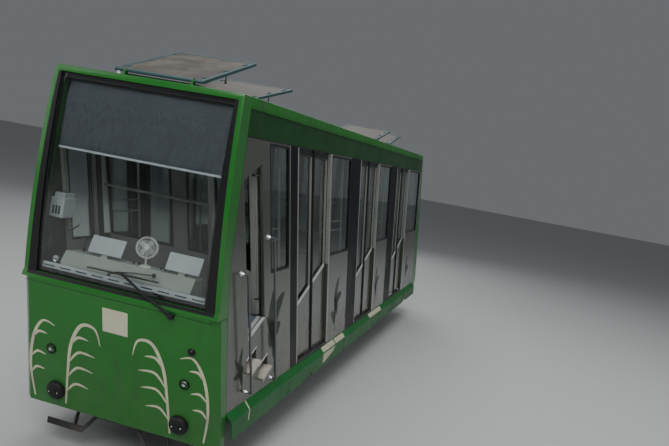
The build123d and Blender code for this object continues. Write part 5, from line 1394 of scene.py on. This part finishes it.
class OBJECT_OT_funicular_saloon(bpy.types.Operator):
    """Seat shells, step nosings, ceiling lamps and cross rails of the saloon"""

    bl_idname = "object.funicular_saloon"
    bl_label = "Saloon"

    def execute(self, context):
        down = Vector((-math.cos(LEAN), 0, math.sin(LEAN)))
        upright = Vector((math.sin(LEAN), 0, math.cos(LEAN)))
        seats = [lean_x(s, SEAT_Z) for s in BENCH_S]
        with piece("seat_shells", "seat", "seat", bevel=0.01) as bm:
            tilt, rake = (Matrix.Rotation(a, 3, "Y") for a in (LEAN, LEAN + SEAT_RAKE))
            for x in seats:
                for y in (-0.50, 0.0, 0.50):
                    corner = Vector((x, y, SEAT_Z))
                    box(bm, corner + down * 0.22 + upright * 0.016, (0.34, 0.38, 0.022), tilt)
                    box(bm, corner - down * 0.0323 + upright * 0.28, (0.022, 0.38, 0.36), rake)
        with piece("seat_grips", "rail_steel", "chrome") as bm:
            for x in seats:
                for y in (-0.60, 0.60):
                    top = Vector((x, y, SEAT_Z)) - down * 0.082 + upright * 0.50
                    aside, rise = Vector((0, math.copysign(0.22, -y), 0)), upright * 0.07
                    tube(bm, [top, top + rise, top + rise + aside, top + aside], 0.012, 12)
        with piece("step_nosings", "threshold", "aluminium") as bm:
            tread = FLOOR_STEP * math.cos(LEAN)
            for k in range(13):
                x = lean_x(FLOOR_FIRST, FLOOR_LOW) - k * FLOOR_STEP - tread * math.cos(LEAN)
                corner = Vector((x, 0, FLOOR_LOW + tread * math.sin(LEAN))) + upright * 0.0006
                section = oblong(-0.80, 0.80, 0, 0.045)
                prism(bm, [corner + Vector((0, y, 0)) - down * d for y, d in section], upright * 0.003)
        with piece("ceiling_lamps", "interior_grey", "white", bevel=0.008) as bm:
            for x in (-2.6, -4.0, -5.4):
                box(bm, at_foot(x, 0, ROOF_Z - 0.041), (0.9, 0.16, 0.032))
        with piece("cross_rails", "rail_steel", "chrome") as bm:
            for start in DOOR_STARTS:
                x = lean_x(start + LEAF_SPLIT, HEAD_RAIL_Z)
                tube(bm, [(x, -0.744, HEAD_RAIL_Z), (x, 0.744, HEAD_RAIL_Z)], 0.014, 12)
        return {"FINISHED"}


def circle_of_bolts(bm, x, y, reach, count, radius, height, sides=12):
    """Bolt heads in a circle on a wheel's or box's outer face."""
    heads = [Vector((x + math.cos(a) * reach, y, AXLE_Z + math.sin(a) * reach)) for a in turns(count)]
    bolts(bm, (0, math.copysign(1, y), 0), heads, radius, height, sides)


class OBJECT_OT_funicular_running_gear(bpy.types.Operator):
    """Bolts, covers, pipes and shoes on the frame, boxes and brakes"""

    bl_idname = "object.funicular_running_gear"
    bl_label = "Running gear"

    def execute(self, context):
        axles = (("uphill", AXLE_X), ("downhill", -AXLE_X))
        with piece("axle_box_covers", "box_iron", "iron") as bm:
            profile = [(0.062, -0.001), (0.062, 0.008), (0.050, 0.014), (0.018, 0.016), (0, 0.016)]
            for _, x in axles:
                for side in (-1, 1):
                    lathe(bm, (x, side * BOX_FACE_Y, AXLE_Z), (0, side, 0), profile, 28)
                    circle_of_bolts(bm, x, side * BOX_FACE_Y, 0.074, 6, 0.008, 0.008)
        with piece("brake_pipes", "frame_steel", "dark_steel") as bm:
            for side in (-1, 1):
                tube(bm, [(x, side * PIPE_Y, PIPE_Z) for x in (4.55, -4.70)], 0.014)
                for k in range(9):
                    box(bm, (4.3 - k * 1.08, side * (PIPE_Y - 0.03), PIPE_Z), (0.02, 0.075, 0.012))
        with piece("frame_bolts", "frame_steel", "dark_steel") as bm:
            for x in (3.45, 2.5, 1.25, 0.0, BRAKE_X, -2.5, -3.45):
                for side in (-1, 1):
                    heads = [Vector((x + dx, side * SOLE_FACE_Y, PIPE_Z)) for dx in (-0.025, 0.025)]
                    bolts(bm, (0, side, 0), heads, 0.009, 0.010)
        with piece("brake_shoes", "wheel_steel", "wheel") as bm:
            for side in (-1, 1):
                for dy in (-0.032, 0.032):
                    box(bm, (BRAKE_X, side * RAIL_Y + dy, 0.192), (0.42, 0.003, 0.04))
                spots = [(BRAKE_X + dx, z) for dx in (-0.2, 0.0, 0.2) for z in (0.30, 0.42)]
                bolts(bm, (0, side, 0), [Vector((x, side * BRAKE_FACE_Y, z)) for x, z in spots], 0.012, 0.012)
        for name, x in axles:
            with piece(f"wheel_bolts_{name}", "wheel_steel", "wheel", f"wheelset_{name}") as bm:
                for side in (-1, 1):
                    circle_of_bolts(bm, x, side * WHEEL_FACE_Y, 0.085, 8, 0.010, 0.010, 8)
        return {"FINISHED"}


# The camera's place, lens and directions
CAMERA_AT = at_foot(5.4846, 3.0012, 2.9227)
CAMERA_LENS = 40.21
CAMERA_RIGHT = Vector((-0.25828919, 0.94975327, 0.17660914))
CAMERA_DOWN = Vector((0.03631487, 0.19221197, -0.98068745))
CAMERA_AHEAD = Vector((-0.96540767, -0.24692115, -0.08417427))


class SCENE_OT_funicular_stage(bpy.types.Operator):
    """Floor, soft lamps and the camera"""

    bl_idname = "scene.funicular_stage"
    bl_label = "Stage"

    def execute(self, context):
        scene = context.scene
        bpy.ops.mesh.primitive_plane_add(size=160, location=(0, 0, 0))
        floor = context.active_object
        floor.name = "studio_floor"
        grey = finish("studio_floor_grey", (0.50, 0.51, 0.51), 0.8, mottle=0.1, grain=0.2)
        floor.data.materials.append(grey)
        world = bpy.data.worlds.new("studio_sky")
        scene.world = world
        world.use_nodes = True
        background = world.node_tree.nodes["Background"]
        background.inputs["Color"].default_value = (0.86, 0.90, 0.95, 1)
        background.inputs["Strength"].default_value = 0.17
        for name, place, aim, size, power in (
            ("key", (15.0, 3.0, 10.0), (3.5, 0.0, 1.6), 7.0, 1150),
            ("fill", (11.0, -9.0, 5.0), (4.0, 0.0, 1.6), 7.0, 240),
            ("side", (1.0, 13.0, 9.0), (0.5, 0.5, 1.2), 8.0, 330),
            ("top", (0.0, 0.0, 12.0), (0.0, 0.0, 0.0), 12.0, 1000),
            ("rear", (-14.0, -5.0, 7.0), (-3.0, 0.0, 1.5), 7.0, 400),
        ):
            light = bpy.data.lights.new(name, "AREA")
            light.size = size
            light.energy = power
            lamp = bpy.data.objects.new(name, light)
            lamp.location = place
            lamp.rotation_euler = (Vector(aim) - Vector(place)).to_track_quat("-Z", "Y").to_euler()
            scene.collection.objects.link(lamp)
        data = bpy.data.cameras.new("camera")
        data.sensor_width = 36.0
        data.lens = CAMERA_LENS
        data.clip_start, data.clip_end = 0.1, 400.0
        camera = bpy.data.objects.new("camera", data)
        turn = Matrix((CAMERA_RIGHT, -CAMERA_DOWN, -CAMERA_AHEAD)).transposed().to_4x4()
        camera.matrix_world = Matrix.Translation(CAMERA_AT) @ turn
        scene.collection.objects.link(camera)
        scene.camera = camera
        return {"FINISHED"}


class VIEW3D_PT_funicular(bpy.types.Panel):
    """The car's pieces, colours and sizes"""

    bl_idname = "VIEW3D_PT_funicular"
    bl_label = "Funicular Car"
    bl_space_type = "VIEW_3D"
    bl_region_type = "UI"
    bl_category = "Funicular"

    def draw(self, context):
        for operator in OPERATORS:
            self.layout.operator(operator.bl_idname)
        for group in (context.scene.funicular_colours, context.scene.funicular_sizes):
            fields = self.layout.box()
            for key in group.__annotations__:
                fields.prop(group, key)


OPERATORS = (
    OBJECT_OT_funicular_finishes,
    OBJECT_OT_funicular_leaf_glazing,
    OBJECT_OT_funicular_side_windows,
    OBJECT_OT_funicular_side_trim,
    OBJECT_OT_funicular_decoration,
    OBJECT_OT_funicular_end_fittings,
    OBJECT_OT_funicular_cab,
    OBJECT_OT_funicular_wiper,
    OBJECT_OT_funicular_cab_doors,
    OBJECT_OT_funicular_steps,
    OBJECT_OT_funicular_roof,
    OBJECT_OT_funicular_saloon,
    OBJECT_OT_funicular_running_gear,
    SCENE_OT_funicular_stage,
)
CLASSES = (FunicularColours, FunicularSizes, *OPERATORS, VIEW3D_PT_funicular)


def register():
    for cls in CLASSES:
        bpy.utils.register_class(cls)
    bpy.types.Scene.funicular_colours = bpy.props.PointerProperty(type=FunicularColours)
    bpy.types.Scene.funicular_sizes = bpy.props.PointerProperty(type=FunicularSizes)


def unregister():
    del bpy.types.Scene.funicular_sizes
    del bpy.types.Scene.funicular_colours
    for cls in reversed(CLASSES):
        bpy.utils.unregister_class(cls)


def main():
    register()
    bpy.ops.object.funicular_finishes()
    bpy.ops.object.funicular_leaf_glazing()
    bpy.ops.object.funicular_side_windows()
    bpy.ops.object.funicular_side_trim()
    bpy.ops.object.funicular_decoration()
    bpy.ops.object.funicular_end_fittings()
    bpy.ops.object.funicular_cab()
    bpy.ops.object.funicular_wiper()
    bpy.ops.object.funicular_cab_doors()
    bpy.ops.object.funicular_steps()
    bpy.ops.object.funicular_roof()
    bpy.ops.object.funicular_saloon()
    bpy.ops.object.funicular_running_gear()
    bpy.ops.scene.funicular_stage()


if __name__ == "__main__":
    main()
